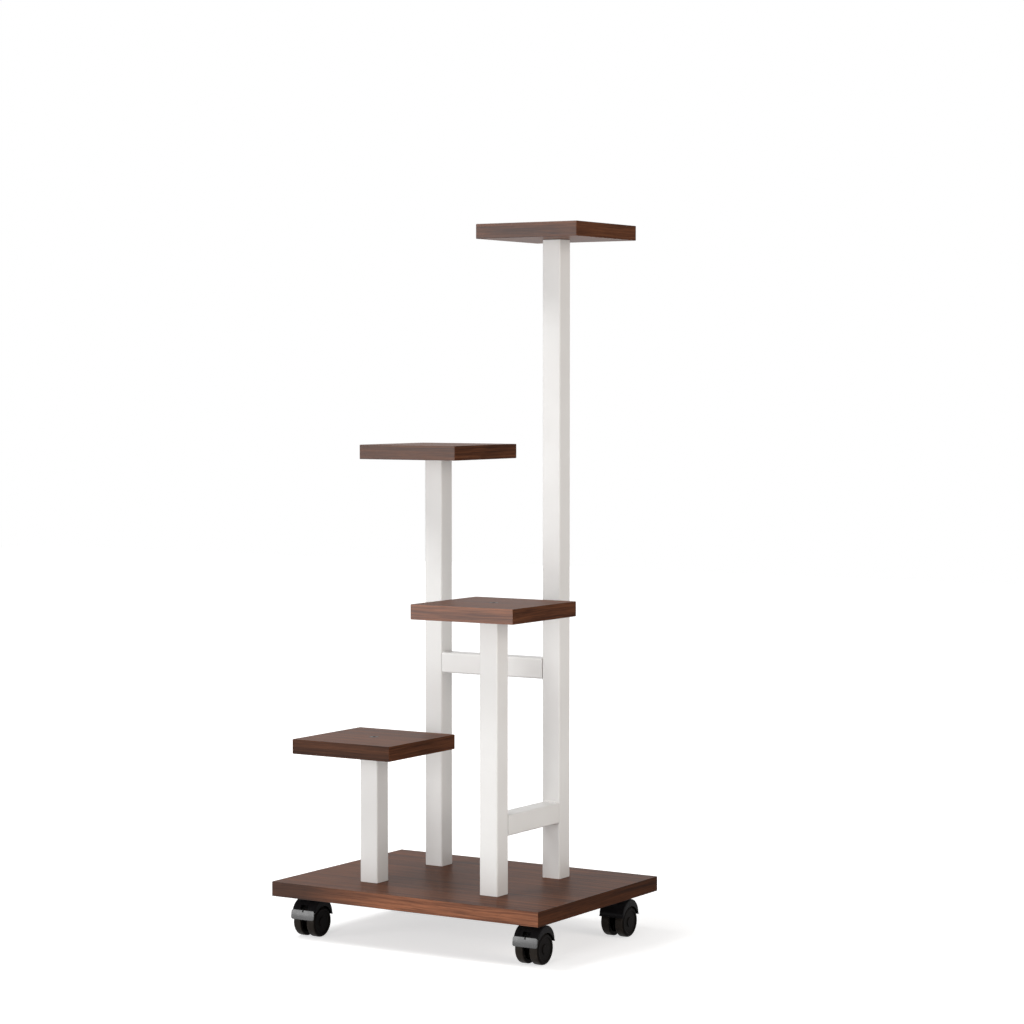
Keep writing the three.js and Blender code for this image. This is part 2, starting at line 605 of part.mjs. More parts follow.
const plate = mountingPlate();
const woodScrew = plateScrew();
const rightWheel = wheel();
const leftWheel = wheel().rotateZ(Math.PI);
const hoods = { true: hood(true), false: hood(false) };
for (const caster of CASTERS) {
  const prefix = `caster_${caster.name}`;
  const axis = swivelAxis(caster);
  addPiece(object, `${prefix}_plate`, plate, zincSteel, [axis.x, axis.y, 0]);
  screwPlaces(caster).forEach(([x, y], i) => {
    addPiece(object, `${prefix}_screw_${i + 1}`, woodScrew, zincSteel, [x, y, PLATE_BOTTOM - FIT]);
  });

  const fork = new THREE.Group();
  fork.position.set(caster.x, caster.y, 0);
  fork.rotation.z = caster.turn;
  addPiece(fork, `${prefix}_hood`, hoods[caster.brake], blackPlastic);
  addPiece(fork, `${prefix}_axle`, axle(), zincSteel);
  addPiece(fork, `${prefix}_wheel_right`, rightWheel, wheelPlastic);
  addPiece(fork, `${prefix}_wheel_left`, leftWheel, wheelPlastic);
  if (caster.brake) {
    addPiece(fork, `${prefix}_brake_pedal`, brakePedal(), blackPlastic);
    addPiece(fork, `${prefix}_pedal_pin`, pedalPin(), zincSteel);
  }
  object.add(fork);
}

export default object;
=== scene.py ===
"""A tiered trolley: finishes, fine surfaces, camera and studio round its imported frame.

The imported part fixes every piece's place, size and motion. This script rebuilds the pieces whose
real surface is finer than the part's facets, dresses all of them, and sets up the view.
Lengths are metres. X runs along the base board, -Y faces the front, and the floor is z = 0.
"""

from __future__ import annotations

import logging
import math
from dataclasses import dataclass, field, replace
from enum import Enum
from typing import Any, Callable, Iterable, Sequence

import bmesh
import bpy
from bmesh.types import BMEdge, BMesh, BMFace, BMVert
from mathutils import Matrix, Vector

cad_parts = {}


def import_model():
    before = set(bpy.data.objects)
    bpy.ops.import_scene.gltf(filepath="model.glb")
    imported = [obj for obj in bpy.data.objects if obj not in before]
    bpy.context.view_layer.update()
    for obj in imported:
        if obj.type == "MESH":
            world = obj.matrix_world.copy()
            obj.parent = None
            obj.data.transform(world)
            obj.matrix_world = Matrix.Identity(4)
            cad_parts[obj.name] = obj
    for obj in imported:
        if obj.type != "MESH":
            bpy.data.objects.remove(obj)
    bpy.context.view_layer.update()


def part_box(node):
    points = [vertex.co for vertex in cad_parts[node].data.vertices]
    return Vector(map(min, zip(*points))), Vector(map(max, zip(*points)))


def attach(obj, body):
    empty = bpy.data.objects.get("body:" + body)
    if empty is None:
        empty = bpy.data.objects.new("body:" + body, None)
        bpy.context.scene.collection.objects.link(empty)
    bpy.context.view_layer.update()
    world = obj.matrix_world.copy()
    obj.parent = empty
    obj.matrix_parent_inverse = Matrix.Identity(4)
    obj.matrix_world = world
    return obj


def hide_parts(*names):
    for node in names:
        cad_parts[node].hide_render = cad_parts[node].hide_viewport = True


LOG = logging.getLogger("tiered_trolley")
MM = 0.001
STAND = "stand"
# Two faces that meet at less than this show as one curve.
SHARP_ANGLE = math.radians(32)
# Points nearer than this are one point.
SAME_POINT = 1e-6
# The least cosine at which an edge or a face's normal runs along a direction.
ALONG = 0.99
# The least share of a face's normal at which it counts as an end or a front of the board.
MOSTLY = 0.7


class Corner(Enum):
    """A corner of the trolley, where a post, its shelf and a caster stand."""

    FRONT_LEFT = "front_left"
    FRONT_RIGHT = "front_right"
    BACK_LEFT = "back_left"
    BACK_RIGHT = "back_right"


def linear(code: str) -> tuple[float, float, float, float]:
    """Gives the scene-linear colour of a screen colour.

    Args:
        code: six hexadecimal digits, red first.

    Returns:
        Red, green, blue and alpha.
    """
    levels = [int(code[i : i + 2], 16) / 255 for i in (0, 2, 4)]
    red, green, blue = (v / 12.92 if v <= 0.04045 else ((v + 0.055) / 1.055) ** 2.4 for v in levels)
    return red, green, blue, 1.0


# ---------------------------------------------------------------------------
# Shader nodes
# ---------------------------------------------------------------------------


class Sheet:
    """Adds and joins the nodes of one shader tree."""

    def __init__(self, tree: bpy.types.NodeTree) -> None:
        """Works on the given tree."""
        self.tree = tree

    def node(self, kind: str, **settings: Any) -> bpy.types.Node:
        """Adds a node.

        Args:
            kind: the node's type.
            settings: its properties.

        Returns:
            The node.
        """
        made = self.tree.nodes.new(kind)
        for key, value in settings.items():
            setattr(made, key, value)
        return made

    def feed(self, socket: bpy.types.NodeSocket, value: Any) -> None:
        """Links a socket to another one, or sets it to a plain value.

        Args:
            socket: the input to fill.
            value: an output to link from, or a plain value.
        """
        if isinstance(value, bpy.types.NodeSocket):
            self.tree.links.new(value, socket)
        else:
            socket.default_value = value

    def math(self, operation: str, *terms: Any, clamp: bool = False) -> bpy.types.NodeSocket:
        """Adds a Math node on the given terms and returns its result.

        Args:
            operation: the Math node's operation.
            *terms: outputs or numbers, in the node's order.
            clamp: keeps the result between 0 and 1.

        Returns:
            The node's result.
        """
        made = self.node("ShaderNodeMath", operation=operation, use_clamp=clamp)
        for socket, term in zip(made.inputs, terms):
            self.feed(socket, term)
        return made.outputs[0]

    def spread(
        self, value: Any, low: float, high: float, start: float = 0.0, end: float = 1.0
    ) -> bpy.types.NodeSocket:
        """Maps a value from low..high to start..end, clamped, and returns the result.

        Args:
            value: the value to map.
            low: the value that gives start.
            high: the value that gives end.
            start: the result at low.
            end: the result at high.

        Returns:
            The mapped value.
        """
        made = self.node("ShaderNodeMapRange", clamp=True)
        for name, given in zip(
            ("Value", "From Min", "From Max", "To Min", "To Max"), (value, low, high, start, end)
        ):
            self.feed(made.inputs[name], given)
        return made.outputs[0]

    def mix(self, factor: Any, first: Any, second: Any) -> bpy.types.NodeSocket:
        """Mixes two colours by a factor and returns the result.

        Args:
            factor: the second colour's share.
            first: the colour at 0.
            second: the colour at 1.

        Returns:
            The mixed colour.
        """
        made = self.node("ShaderNodeMix", data_type="RGBA", clamp_factor=True)
        colour_sockets = (0, 6, 7)
        for index, given in zip(colour_sockets, (factor, first, second)):
            self.feed(made.inputs[index], given)
        return made.outputs[2]

    def split(self, vector: Any) -> Any:
        """Splits a vector into X, Y and Z and returns the three outputs.

        Args:
            vector: the vector to split.

        Returns:
            The outputs for X, Y and Z.
        """
        made = self.node("ShaderNodeSeparateXYZ")
        self.feed(made.inputs[0], vector)
        return made.outputs

    def stretch(self, vector: Any, scale: Sequence[float]) -> bpy.types.NodeSocket:
        """Scales a vector by axis and returns the result.

        Args:
            vector: the vector to scale.
            scale: the factors along X, Y and Z.

        Returns:
            The scaled vector.
        """
        made = self.node("ShaderNodeVectorMath", operation="MULTIPLY")
        self.feed(made.inputs[0], vector)
        made.inputs[1].default_value = scale
        return made.outputs[0]

    def noise(
        self, vector: Any, detail: float = 2.0, roughness: float = 0.5, scale: Any = 1.0
    ) -> bpy.types.NodeSocket:
        """Adds a noise texture over a vector and returns its value.

        Args:
            vector: where the noise is read.
            detail: how many finer layers it has.
            roughness: how much each finer layer adds.
            scale: how many cells a metre holds.

        Returns:
            The noise's value.
        """
        made = self.node("ShaderNodeTexNoise")
        self.feed(made.inputs["Vector"], vector)
        self.feed(made.inputs["Scale"], scale)
        made.inputs["Detail"].default_value = detail
        made.inputs["Roughness"].default_value = roughness
        return made.outputs[0]

    def bump(self, height: Any, depth: float, strength: float) -> bpy.types.NodeSocket:
        """Turns a height into a normal.

        Args:
            height: the socket that gives the height, from 0 to 1.
            depth: how deep the relief is.
            strength: how much of it shows.

        Returns:
            The normal socket.
        """
        made = self.node("ShaderNodeBump")
        made.inputs["Strength"].default_value = strength
        made.inputs["Distance"].default_value = depth
        self.feed(made.inputs["Height"], height)
        return made.outputs[0]


class Effect:
    """A shader node group that several finishes share, built on first use."""

    title = ""
    takes: dict[str, tuple[str, Any]] = {}
    gives: dict[str, str] = {}

    @classmethod
    def draw(cls, sheet: Sheet, inputs: Any, outputs: Any) -> None:
        """Draws the group's nodes between its inputs and outputs."""
        raise NotImplementedError

    @classmethod
    def place(cls, sheet: Sheet, **values: Any) -> Any:
        """Places the group in a material.

        Args:
            sheet: the material's sheet.
            values: what each named input gets, with spaces written as underscores.

        Returns:
            The placed node's outputs.
        """
        tree = bpy.data.node_groups.get(cls.title)
        if tree is None:
            tree = bpy.data.node_groups.new(cls.title, "ShaderNodeTree")
            for name, (kind, default) in cls.takes.items():
                socket = tree.interface.new_socket(name=name, in_out="INPUT", socket_type=kind)
                if default is not None:
                    socket.default_value = default
            for name, kind in cls.gives.items():
                tree.interface.new_socket(name=name, in_out="OUTPUT", socket_type=kind)
            inner = Sheet(tree)
            start = inner.node("NodeGroupInput")
            end = inner.node("NodeGroupOutput")
            cls.draw(inner, start.outputs, end.inputs)
        made = sheet.node("ShaderNodeGroup", node_tree=tree)
        for name, value in values.items():
            sheet.feed(made.inputs[name.replace("_", " ")], value)
        return made.outputs


class WoodGrain(Effect):
    """Straight walnut figure: broad streaks, fine lines and short dark pores along one direction."""

    title = "wood_grain"
    takes = {
        "Dark": ("NodeSocketColor", None),
        "Light": ("NodeSocketColor", None),
        "Contrast": ("NodeSocketFloat", 1.0),
        "Pores": ("NodeSocketFloat", 1.0),
        "Front": ("NodeSocketFloat", 1.0),
        "Front Start": ("NodeSocketFloat", 0.0),
        "Front End": ("NodeSocketFloat", 1.0),
    }
    gives = {"Color": "NodeSocketColor", "Sheen": "NodeSocketFloat", "Height": "NodeSocketFloat"}

    # How often each kind of mark changes in a metre, along the grain and across it.
    SWAY = (3.0, 9.0, 9.0)
    STREAKS = (1.8, 55.0, 55.0)
    LINES = (4.0, 250.0, 250.0)
    THREADS = (22.0, 900.0, 900.0)
    PORES = (55.0, 2300.0, 2300.0)
    # How far the grain sways, each kind's share of the figure, and how strongly the figure shows.
    SWAY_REACH = 6 * MM
    STREAK_SHARE, LINE_SHARE, THREAD_SHARE = 0.2, 0.5, 0.3
    TONE = 3.0
    # A pore starts where its noise passes the first level, and is full at the second.
    PORE_LEVELS = (0.6, 0.72)

    @classmethod
    def draw(cls, sheet: Sheet, inputs: Any, outputs: Any) -> None:
        """Turns the grain along Y on the end faces and along X on all others, and draws it.

        Args:
            sheet: the group's own sheet.
            inputs: the group's inputs, by name.
            outputs: the sockets of the group's output, by name.
        """
        place = sheet.node("ShaderNodeTexCoord").outputs
        parts = sheet.split(place["Object"])
        facing = sheet.split(place["Normal"])
        is_end = sheet.math("GREATER_THAN", sheet.math("ABSOLUTE", facing[0]), MOSTLY)
        crossed = sheet.node("ShaderNodeCombineXYZ")
        for socket, source in zip(crossed.inputs, (1, 0, 2)):
            sheet.feed(socket, parts[source])
        along = sheet.mix(is_end, place["Object"], crossed.outputs[0])

        wander = sheet.noise(sheet.stretch(along, cls.SWAY))
        sway = sheet.spread(wander, 0.0, 1.0, -cls.SWAY_REACH, cls.SWAY_REACH)
        shift = sheet.node("ShaderNodeCombineXYZ")
        sheet.feed(shift.inputs[1], sway)
        sheet.feed(shift.inputs[2], sway)
        waved = sheet.node("ShaderNodeVectorMath", operation="ADD")
        sheet.feed(waved.inputs[0], along)
        sheet.feed(waved.inputs[1], shift.outputs[0])
        grain = waved.outputs[0]

        streaks = sheet.noise(sheet.stretch(grain, cls.STREAKS), detail=2.0, roughness=0.5)
        lines = sheet.noise(sheet.stretch(grain, cls.LINES), detail=4.0, roughness=0.62)
        threads = sheet.noise(sheet.stretch(grain, cls.THREADS), detail=2.0, roughness=0.6)
        fine = sheet.math("MULTIPLY", threads, cls.THREAD_SHARE)
        fine = sheet.math("MULTIPLY_ADD", lines, cls.LINE_SHARE, fine)
        figure = sheet.math("MULTIPLY_ADD", streaks, cls.STREAK_SHARE, fine)
        centred = sheet.math("SUBTRACT", figure, 0.5)
        strength = sheet.math("MULTIPLY", centred, inputs["Contrast"])
        tone = sheet.math("MULTIPLY_ADD", strength, cls.TONE, 0.5, clamp=True)
        colour = sheet.mix(tone, inputs["Dark"], inputs["Light"])
        pitted = sheet.noise(sheet.stretch(grain, cls.PORES), detail=1.0)
        pores = sheet.math("MULTIPLY", sheet.spread(pitted, *cls.PORE_LEVELS), inputs["Pores"])
        colour = sheet.mix(pores, colour, inputs["Dark"])

        # Painted light: faces that look to the front have their colour scaled by Front, ramping in along
        # X from Front Start to Front End, so that a front band reads as more or less lit.
        is_front = sheet.math("LESS_THAN", facing[1], -MOSTLY)
        reach = sheet.spread(parts[0], inputs["Front Start"], inputs["Front End"])
        painted_light_ramp = sheet.math("MULTIPLY", is_front, reach)
        painted_front_light = sheet.math("MULTIPLY_ADD", painted_light_ramp, sheet.math("SUBTRACT", inputs["Front"], 1.0), 1.0)
        scaled = sheet.node("ShaderNodeVectorMath", operation="SCALE")
        sheet.feed(scaled.inputs[0], colour)
        sheet.feed(scaled.inputs["Scale"], painted_front_light)
        sheet.feed(outputs["Color"], scaled.outputs[0])
        sheet.feed(outputs["Sheen"], sheet.math("MULTIPLY_ADD", centred, 0.5, 0.5))
        relief = sheet.math("MULTIPLY", lines, 0.5)
        sheet.feed(outputs["Height"], sheet.math("SUBTRACT", relief, pores))


class FineGrain(Effect):
    """An even, fine relief with a slow change of tone: orange peel, spark-eroded plastic or plating."""

    title = "fine_grain"
    takes = {
        "Color": ("NodeSocketColor", None),
        "Shade": ("NodeSocketColor", None),
        "Size": ("NodeSocketFloat", 1 * MM),
        "Patches": ("NodeSocketFloat", 40 * MM),
    }
    gives = {"Color": "NodeSocketColor", "Patch": "NodeSocketFloat", "Height": "NodeSocketFloat"}

    @classmethod
    def draw(cls, sheet: Sheet, inputs: Any, outputs: Any) -> None:
        """Draws cells of the given size over patches of the given width.

        Args:
            sheet: the group's own sheet.
            inputs: the group's inputs, by name.
            outputs: the sockets of the group's output, by name.
        """
        place = sheet.node("ShaderNodeTexCoord").outputs["Object"]
        cells = sheet.noise(place, 2.0, 0.55, sheet.math("DIVIDE", 1.0, inputs["Size"]))
        patches = sheet.noise(place, 3.0, 0.5, sheet.math("DIVIDE", 1.0, inputs["Patches"]))
        patch = sheet.spread(patches, 0.3, 0.7)
        sheet.feed(outputs["Color"], sheet.mix(patch, inputs["Color"], inputs["Shade"]))
        sheet.feed(outputs["Patch"], patch)
        sheet.feed(outputs["Height"], cells)


class SettledDust(Effect):
    """A thin veil of dust on faces that look up."""

    title = "settled_dust"
    takes = {
        "Color": ("NodeSocketColor", None),
        "Dust": ("NodeSocketColor", None),
        "Amount": ("NodeSocketFloat", 0.1),
    }
    gives = {"Color": "NodeSocketColor", "Veil": "NodeSocketFloat"}

    # How many flecks of dust there are in a metre.
    FLECKS = 160.0

    @classmethod
    def draw(cls, sheet: Sheet, inputs: Any, outputs: Any) -> None:
        """Lays the dust by the face's direction, broken up by a soft noise.

        Args:
            sheet: the group's own sheet.
            inputs: the group's inputs, by name.
            outputs: the sockets of the group's output, by name.
        """
        place = sheet.node("ShaderNodeTexCoord").outputs
        upward = sheet.spread(sheet.split(place["Normal"])[2], 0.1, 1.0)
        flecks = sheet.noise(place["Object"], 4.0, 0.6, cls.FLECKS)
        broken = sheet.spread(flecks, 0.35, 0.7, 0.2, 1.0)
        veil = sheet.math("MULTIPLY", sheet.math("MULTIPLY", upward, broken), inputs["Amount"])
        sheet.feed(outputs["Color"], sheet.mix(veil, inputs["Color"], inputs["Dust"]))
        sheet.feed(outputs["Veil"], veil)


# ---------------------------------------------------------------------------
# Finishes
# ---------------------------------------------------------------------------


# The sockets that give a surface's colour, roughness and normal.
Surface = tuple[bpy.types.NodeSocket, bpy.types.NodeSocket, bpy.types.NodeSocket]
# A stretch of X that a board's front band is wholly past, so that all of it has the same painted light.
WHOLE_FRONT = (-10.0, -9.0)


def blank_material(name: str) -> tuple[bpy.types.Material, Sheet, bpy.types.Node]:
    """Makes a material and returns it with its sheet and its shader.

    Args:
        name: the material's name.

    Returns:
        The material, its sheet and its shader.
    """
    made = bpy.data.materials.new(name)
    made.use_nodes = True
    return made, Sheet(made.node_tree), made.node_tree.nodes["Principled BSDF"]


@dataclass(frozen=True)
class Finish:
    """A surface finish and the record's material slot that it belongs to."""

    name: str
    slot: str

    def material(self) -> bpy.types.Material:
        """Gives the finish's material, which is made on first use.

        Returns:
            The one material of this finish.
        """
        made = bpy.data.materials.get(self.name)
        if made is None:
            made, sheet, shader = blank_material(self.name)
            colour, roughness, normal = self.dress(sheet, shader)
            sheet.feed(shader.inputs["Base Color"], colour)
            sheet.feed(shader.inputs["Roughness"], roughness)
            sheet.feed(shader.inputs["Normal"], normal)
        return made

    def dress(self, sheet: Sheet, shader: bpy.types.Node) -> Surface:
        """Sets the shader's fixed values and returns the surface that it shows."""
        raise NotImplementedError


@dataclass(frozen=True)
class WalnutFinish(Finish):
    """Walnut laminate with a satin face, or the edge band that goes round it."""

    dark: str = "3f2214"
    light: str = "6f452e"
    contrast: float = 2.0
    pores: float = 0.55
    # Painted light: a factor on the colour of the front faces, which reaches full strength across the
    # stretch of X given after it.
    front: float = 1.0
    painted_light_reach: tuple[float, float] = WHOLE_FRONT
    gloss: float = 0.025
    roughness: tuple[float, float] = (0.32, 0.46)
    pore_depth: float = 0.05 * MM

    def dress(self, sheet: Sheet, shader: bpy.types.Node) -> Surface:
        """Gives the grain's colour with the painted light on its front faces, its satin and its pores.

        Args:
            sheet: the material's sheet.
            shader: the material's Principled shader.

        Returns:
            The colour, the roughness and the normal.
        """
        grain = WoodGrain.place(
            sheet,
            Dark=linear(self.dark),
            Light=linear(self.light),
            Contrast=self.contrast,
            Pores=self.pores,
            Front=self.front,
            Front_Start=self.painted_light_reach[0],
            Front_End=self.painted_light_reach[1],
        )
        shader.inputs["Specular IOR Level"].default_value = self.gloss
        satin = sheet.spread(grain["Sheen"], 0.3, 0.7, *self.roughness)
        return grain["Color"], satin, sheet.bump(grain["Height"], self.pore_depth, 0.5)


@dataclass(frozen=True)
class FineFinish(Finish):
    """A finish of two close tones that drift into each other, over a fine relief."""

    colour: str = "808080"
    shade: str = "7c7c7c"
    grain: float = 0.5 * MM
    grain_depth: float = 0.01 * MM
    relief: float = 0.5
    patches: float = 10 * MM
    roughness: tuple[float, float] = (0.3, 0.4)

    def dress(self, sheet: Sheet, shader: bpy.types.Node) -> Surface:
        """Gives the drifting tone, its gloss and the relief.

        Args:
            sheet: the material's sheet.
            shader: the material's Principled shader.

        Returns:
            The colour, the roughness and the normal.
        """
        fine = FineGrain.place(
            sheet,
            Color=linear(self.colour),
            Shade=linear(self.shade),
            Size=self.grain,
            Patches=self.patches,
        )
        gloss = sheet.spread(fine["Patch"], 0.0, 1.0, *self.roughness)
        return fine["Color"], gloss, sheet.bump(fine["Height"], self.grain_depth, self.relief)


@dataclass(frozen=True)
class PowderCoat(FineFinish):
    """White satin powder coat with a slight orange peel."""

    colour: str = "e5e4e2"
    shade: str = "dfdddb"
    grain: float = 1.6 * MM
    grain_depth: float = 0.03 * MM
    relief: float = 0.6
    patches: float = 90 * MM
    roughness: tuple[float, float] = (0.34, 0.44)


@dataclass(frozen=True)
class MouldedPlastic(FineFinish):
    """Black moulded plastic, from glossy to satin, with a fine mould texture and a little dust."""

    colour: str = "131214"
    shade: str = "1b1a1b"
    dust: str = "7d7770"
    dust_amount: float = 0.02
    gloss: float = 0.03
    grain: float = 0.35 * MM
    patches: float = 9 * MM
    roughness: tuple[float, float] = (0.2, 0.3)

    def dress(self, sheet: Sheet, shader: bpy.types.Node) -> Surface:
        """Gives the plastic's tone under its dust, its gloss and its mould texture.

        Args:
            sheet: the material's sheet.
            shader: the material's Principled shader.

        Returns:
            The colour, the roughness and the normal.
        """
        colour, clean, relief = super().dress(sheet, shader)
        veiled = SettledDust.place(
            sheet, Color=colour, Dust=linear(self.dust), Amount=self.dust_amount
        )
        shader.inputs["Specular IOR Level"].default_value = self.gloss
        return veiled["Color"], sheet.math("ADD", clean, veiled["Veil"], clamp=True), relief


@dataclass(frozen=True)
class PlatedSteel(FineFinish):
    """Bright or blackened steel with a cloudy plating."""

    colour: str = "c3c6c8"
    shade: str = "a9adb2"
    relief: float = 0.4
    patches: float = 5 * MM
    roughness: tuple[float, float] = (0.24, 0.4)

    def dress(self, sheet: Sheet, shader: bpy.types.Node) -> Surface:
        """Gives the plating's tone, gloss and grain, on metal."""
        shader.inputs["Metallic"].default_value = 1.0
        return super().dress(sheet, shader)


WALNUT_FACE = WalnutFinish("walnut_face", "walnut_board")
WALNUT_BAND = WalnutFinish(
    "walnut_band",
    "walnut_board",
    dark="361d11",
    light="663f2a",
    contrast=1.7,
    gloss=0.2,
    roughness=(0.3, 0.42),
)
# Painted light and shade: the base's band is dark all round, and its front face is painted up to 4.3
# times lighter, ramping in from near its left end to the middle.
BASE_BAND = replace(
    WALNUT_BAND,
    name="walnut_band_base",
    dark="251209",
    light="4a2c1c",
    front=4.3,
    painted_light_reach=(-140 * MM, -10 * MM),
)
END_BAND = replace(WALNUT_BAND, name="walnut_band_end", gloss=0.028, roughness=(0.5, 0.65))
BASE_END_BAND = replace(END_BAND, name="walnut_band_base_end", dark="26130a", light="4b2c1b")
# How much painted light each shelf's front band gets, as a factor on its colour, and how glossy the band
# is.
SHELF_FRONT_LIGHT_AND_GLOSS = {
    Corner.FRONT_LEFT: (0.6, 0.1),
    Corner.FRONT_RIGHT: (1.95, 0.42),
    Corner.BACK_LEFT: (0.78, 0.34),
    Corner.BACK_RIGHT: (0.98, 0.42),
}
WHITE_COAT = PowderCoat("white_powder_coat", "white_frame")
HOOD_PLASTIC = MouldedPlastic("satin_hood_plastic", "hood_plastic")
PEDAL_PLASTIC = MouldedPlastic(
    "glossy_pedal_plastic", "pedal_plastic", colour="161618", gloss=0.6, roughness=(0.12, 0.2)
)
WHEEL_PLASTIC = MouldedPlastic(
    "dull_wheel_plastic",
    "wheel_plastic",
    colour="0e0c0b",
    shade="141110",
    gloss=0.02,
    grain_depth=0.02 * MM,
    roughness=(0.32, 0.42),
)
TREAD_PLASTIC = replace(WHEEL_PLASTIC, name="tread_plastic", colour="221e1a", shade="2c2723", gloss=0.05)
ZINC = PlatedSteel("zinc_plate", "zinc_steel")
BLACK_OXIDE = PlatedSteel(
    "black_oxide", "black_steel", colour="2a2827", shade="1d1c1c", roughness=(0.38, 0.5)
)


# ---------------------------------------------------------------------------
# Shaping
# ---------------------------------------------------------------------------


class Axis(Enum):
    """A direction of the trolley's own frame."""

    X = (1.0, 0.0, 0.0)
    Y = (0.0, 1.0, 0.0)
    Z = (0.0, 0.0, 1.0)

    @property
    def vector(self) -> Vector:
        """The direction as a vector."""
        return Vector(self.value)

    @property
    def from_upright(self) -> Matrix:
        """The turn that lays an upright shape along this direction."""
        return Vector((0.0, 0.0, 1.0)).rotation_difference(self.vector).to_matrix().to_4x4()


def at(x: float, y: float, z: float) -> Matrix:
    """Gives the move from the origin to a point."""
    return Matrix.Translation((x, y, z))


def ends_of(bm: BMesh, along: Axis) -> list[BMFace]:
    """Finds the flat faces across a direction."""
    return [f for f in bm.faces if abs(f.normal.dot(along.vector)) > ALONG]


def cut_away(bm: BMesh, unwanted: Callable[[Vector], bool]) -> None:
    """Takes out the faces whose middle meets a test."""
    gone = [f for f in bm.faces if unwanted(f.calc_center_median())]
    bmesh.ops.delete(bm, geom=gone, context="FACES")


def arc(
    centre: tuple[float, float], radius: float, start: float, end: float, steps: int
) -> list[tuple[float, float]]:
    """Gives the points of an arc.

    Args:
        centre: its centre.
        radius: its radius.
        start: the angle of its first point, in degrees from the first axis towards the second.
        end: the angle of its last point.
        steps: how many steps it has.

    Returns:
        The points, first to last.
    """
    turns = [math.radians(start + (end - start) * i / steps) for i in range(steps + 1)]
    return [(centre[0] + radius * math.cos(t), centre[1] + radius * math.sin(t)) for t in turns]


def round_edges(bm: BMesh, edges: Iterable[BMEdge], radius: float, steps: int) -> None:
    """Rounds edges to a radius in a number of steps.

    Args:
        bm: the mesh to change.
        edges: the edges to round.
        radius: the rounding's radius.
        steps: the facets of each rounding.
    """
    bmesh.ops.bevel(
        bm,
        geom=list(edges),
        offset=radius,
        offset_type="OFFSET",
        segments=steps,
        profile=0.5,
        affect="EDGES",
        clamp_overlap=True,
        material=-1,
    )


def rounded_block(
    low: Vector, high: Vector, along: Axis, corner: float, arris: float, steps: int = 5
) -> BMesh:
    """Makes a block with rounded corners along one direction and softened end edges.

    Args:
        low: its lowest corner.
        high: its highest corner.
        along: the direction of the corners that get the larger rounding.
        corner: the radius of those corners.
        arris: the radius of the edges round the two end faces.
        steps: how many steps round a corner has.

    Returns:
        The block.
    """
    bm = bmesh.new()
    place = at(*((low + high) / 2)) @ Matrix.Diagonal((*(high - low), 1.0))
    bmesh.ops.create_cube(bm, size=1.0, matrix=place)
    runs = []
    for edge in bm.edges:
        direction = (edge.verts[1].co - edge.verts[0].co).normalized()
        if abs(direction.dot(along.vector)) > ALONG:
            runs.append(edge)
    round_edges(bm, runs, corner, steps)
    bm.normal_update()
    if arris > 0:
        round_edges(bm, {e for f in ends_of(bm, along) for e in f.edges}, arris, 3)
    return bm


def turned(profile: Sequence[tuple[float, float]], place: Matrix, steps: int = 48) -> BMesh:
    """Turns a profile about the Z axis and puts the body in place.

    Args:
        profile: radius and height of each point, from one end of the axis to the other.
        place: carries the upright body to where it belongs.
        steps: how many steps round it has.

    Returns:
        The body.
    """
    bm = bmesh.new()
    points = [bm.verts.new((radius, 0.0, height)) for radius, height in profile]
    line = [bm.edges.new(pair) for pair in zip(points, points[1:])]
    bmesh.ops.spin(
        bm,
        geom=[*points, *line],
        cent=(0.0, 0.0, 0.0),
        axis=(0.0, 0.0, 1.0),
        angle=2 * math.pi,
        steps=steps,
        use_merge=True,
        use_duplicate=False,
    )
    bmesh.ops.remove_doubles(bm, verts=bm.verts, dist=SAME_POINT)
    bmesh.ops.transform(bm, matrix=place, verts=bm.verts)
    bmesh.ops.recalc_face_normals(bm, faces=bm.faces)
    return bm


def loop_at(bm: BMesh, radius: float, steps: int, place: Matrix) -> list[BMEdge]:
    """Adds an open circle and returns its edges."""
    made = bmesh.ops.create_circle(bm, cap_ends=False, radius=radius, segments=steps, matrix=place)
    return list({edge for vert in made["verts"] for edge in vert.link_edges})


def refill(bm: BMesh, face: BMFace, loops: Iterable[list[BMEdge]]) -> None:
    """Replaces a flat face by one that is pierced by closed loops lying in it.

    Args:
        bm: the mesh to change.
        face: the face to replace.
        loops: the edges of each hole.
    """
    edges = [*face.edges, *(edge for loop in loops for edge in loop)]
    normal = face.normal.copy()
    bmesh.ops.delete(bm, geom=[face], context="FACES_ONLY")
    bmesh.ops.triangle_fill(bm, use_beauty=True, use_dissolve=False, edges=edges, normal=normal)


def draw_out(bm: BMesh, loop: list[BMEdge], move: Vector, scale: float = 1.0) -> list[BMEdge]:
    """Extrudes a loop of edges, then scales the new loop about its own middle.

    Args:
        bm: the mesh.
        loop: the edges to extrude.
        move: how far the new loop goes.
        scale: the new loop's size as a share of the old one's.

    Returns:
        The new loop's edges.
    """
    made = bmesh.ops.extrude_edge_only(bm, edges=loop)["geom"]
    verts = [g for g in made if isinstance(g, BMVert)]
    middle = sum((v.co for v in verts), Vector()) / len(verts)
    for vert in verts:
        vert.co = middle + (vert.co - middle) * scale + move
    return [g for g in made if isinstance(g, BMEdge)]


def close_loop(bm: BMesh, loop: list[BMEdge]) -> None:
    """Closes a loop of edges with one face."""
    bmesh.ops.edgeloop_fill(bm, edges=loop)


def slice_at(bm: BMesh, offset: float, across: Axis) -> None:
    """Adds a line of edges where a plane across a direction meets the mesh."""
    whole = [*bm.verts, *bm.edges, *bm.faces]
    bmesh.ops.bisect_plane(bm, geom=whole, plane_co=across.vector * offset, plane_no=across.vector)


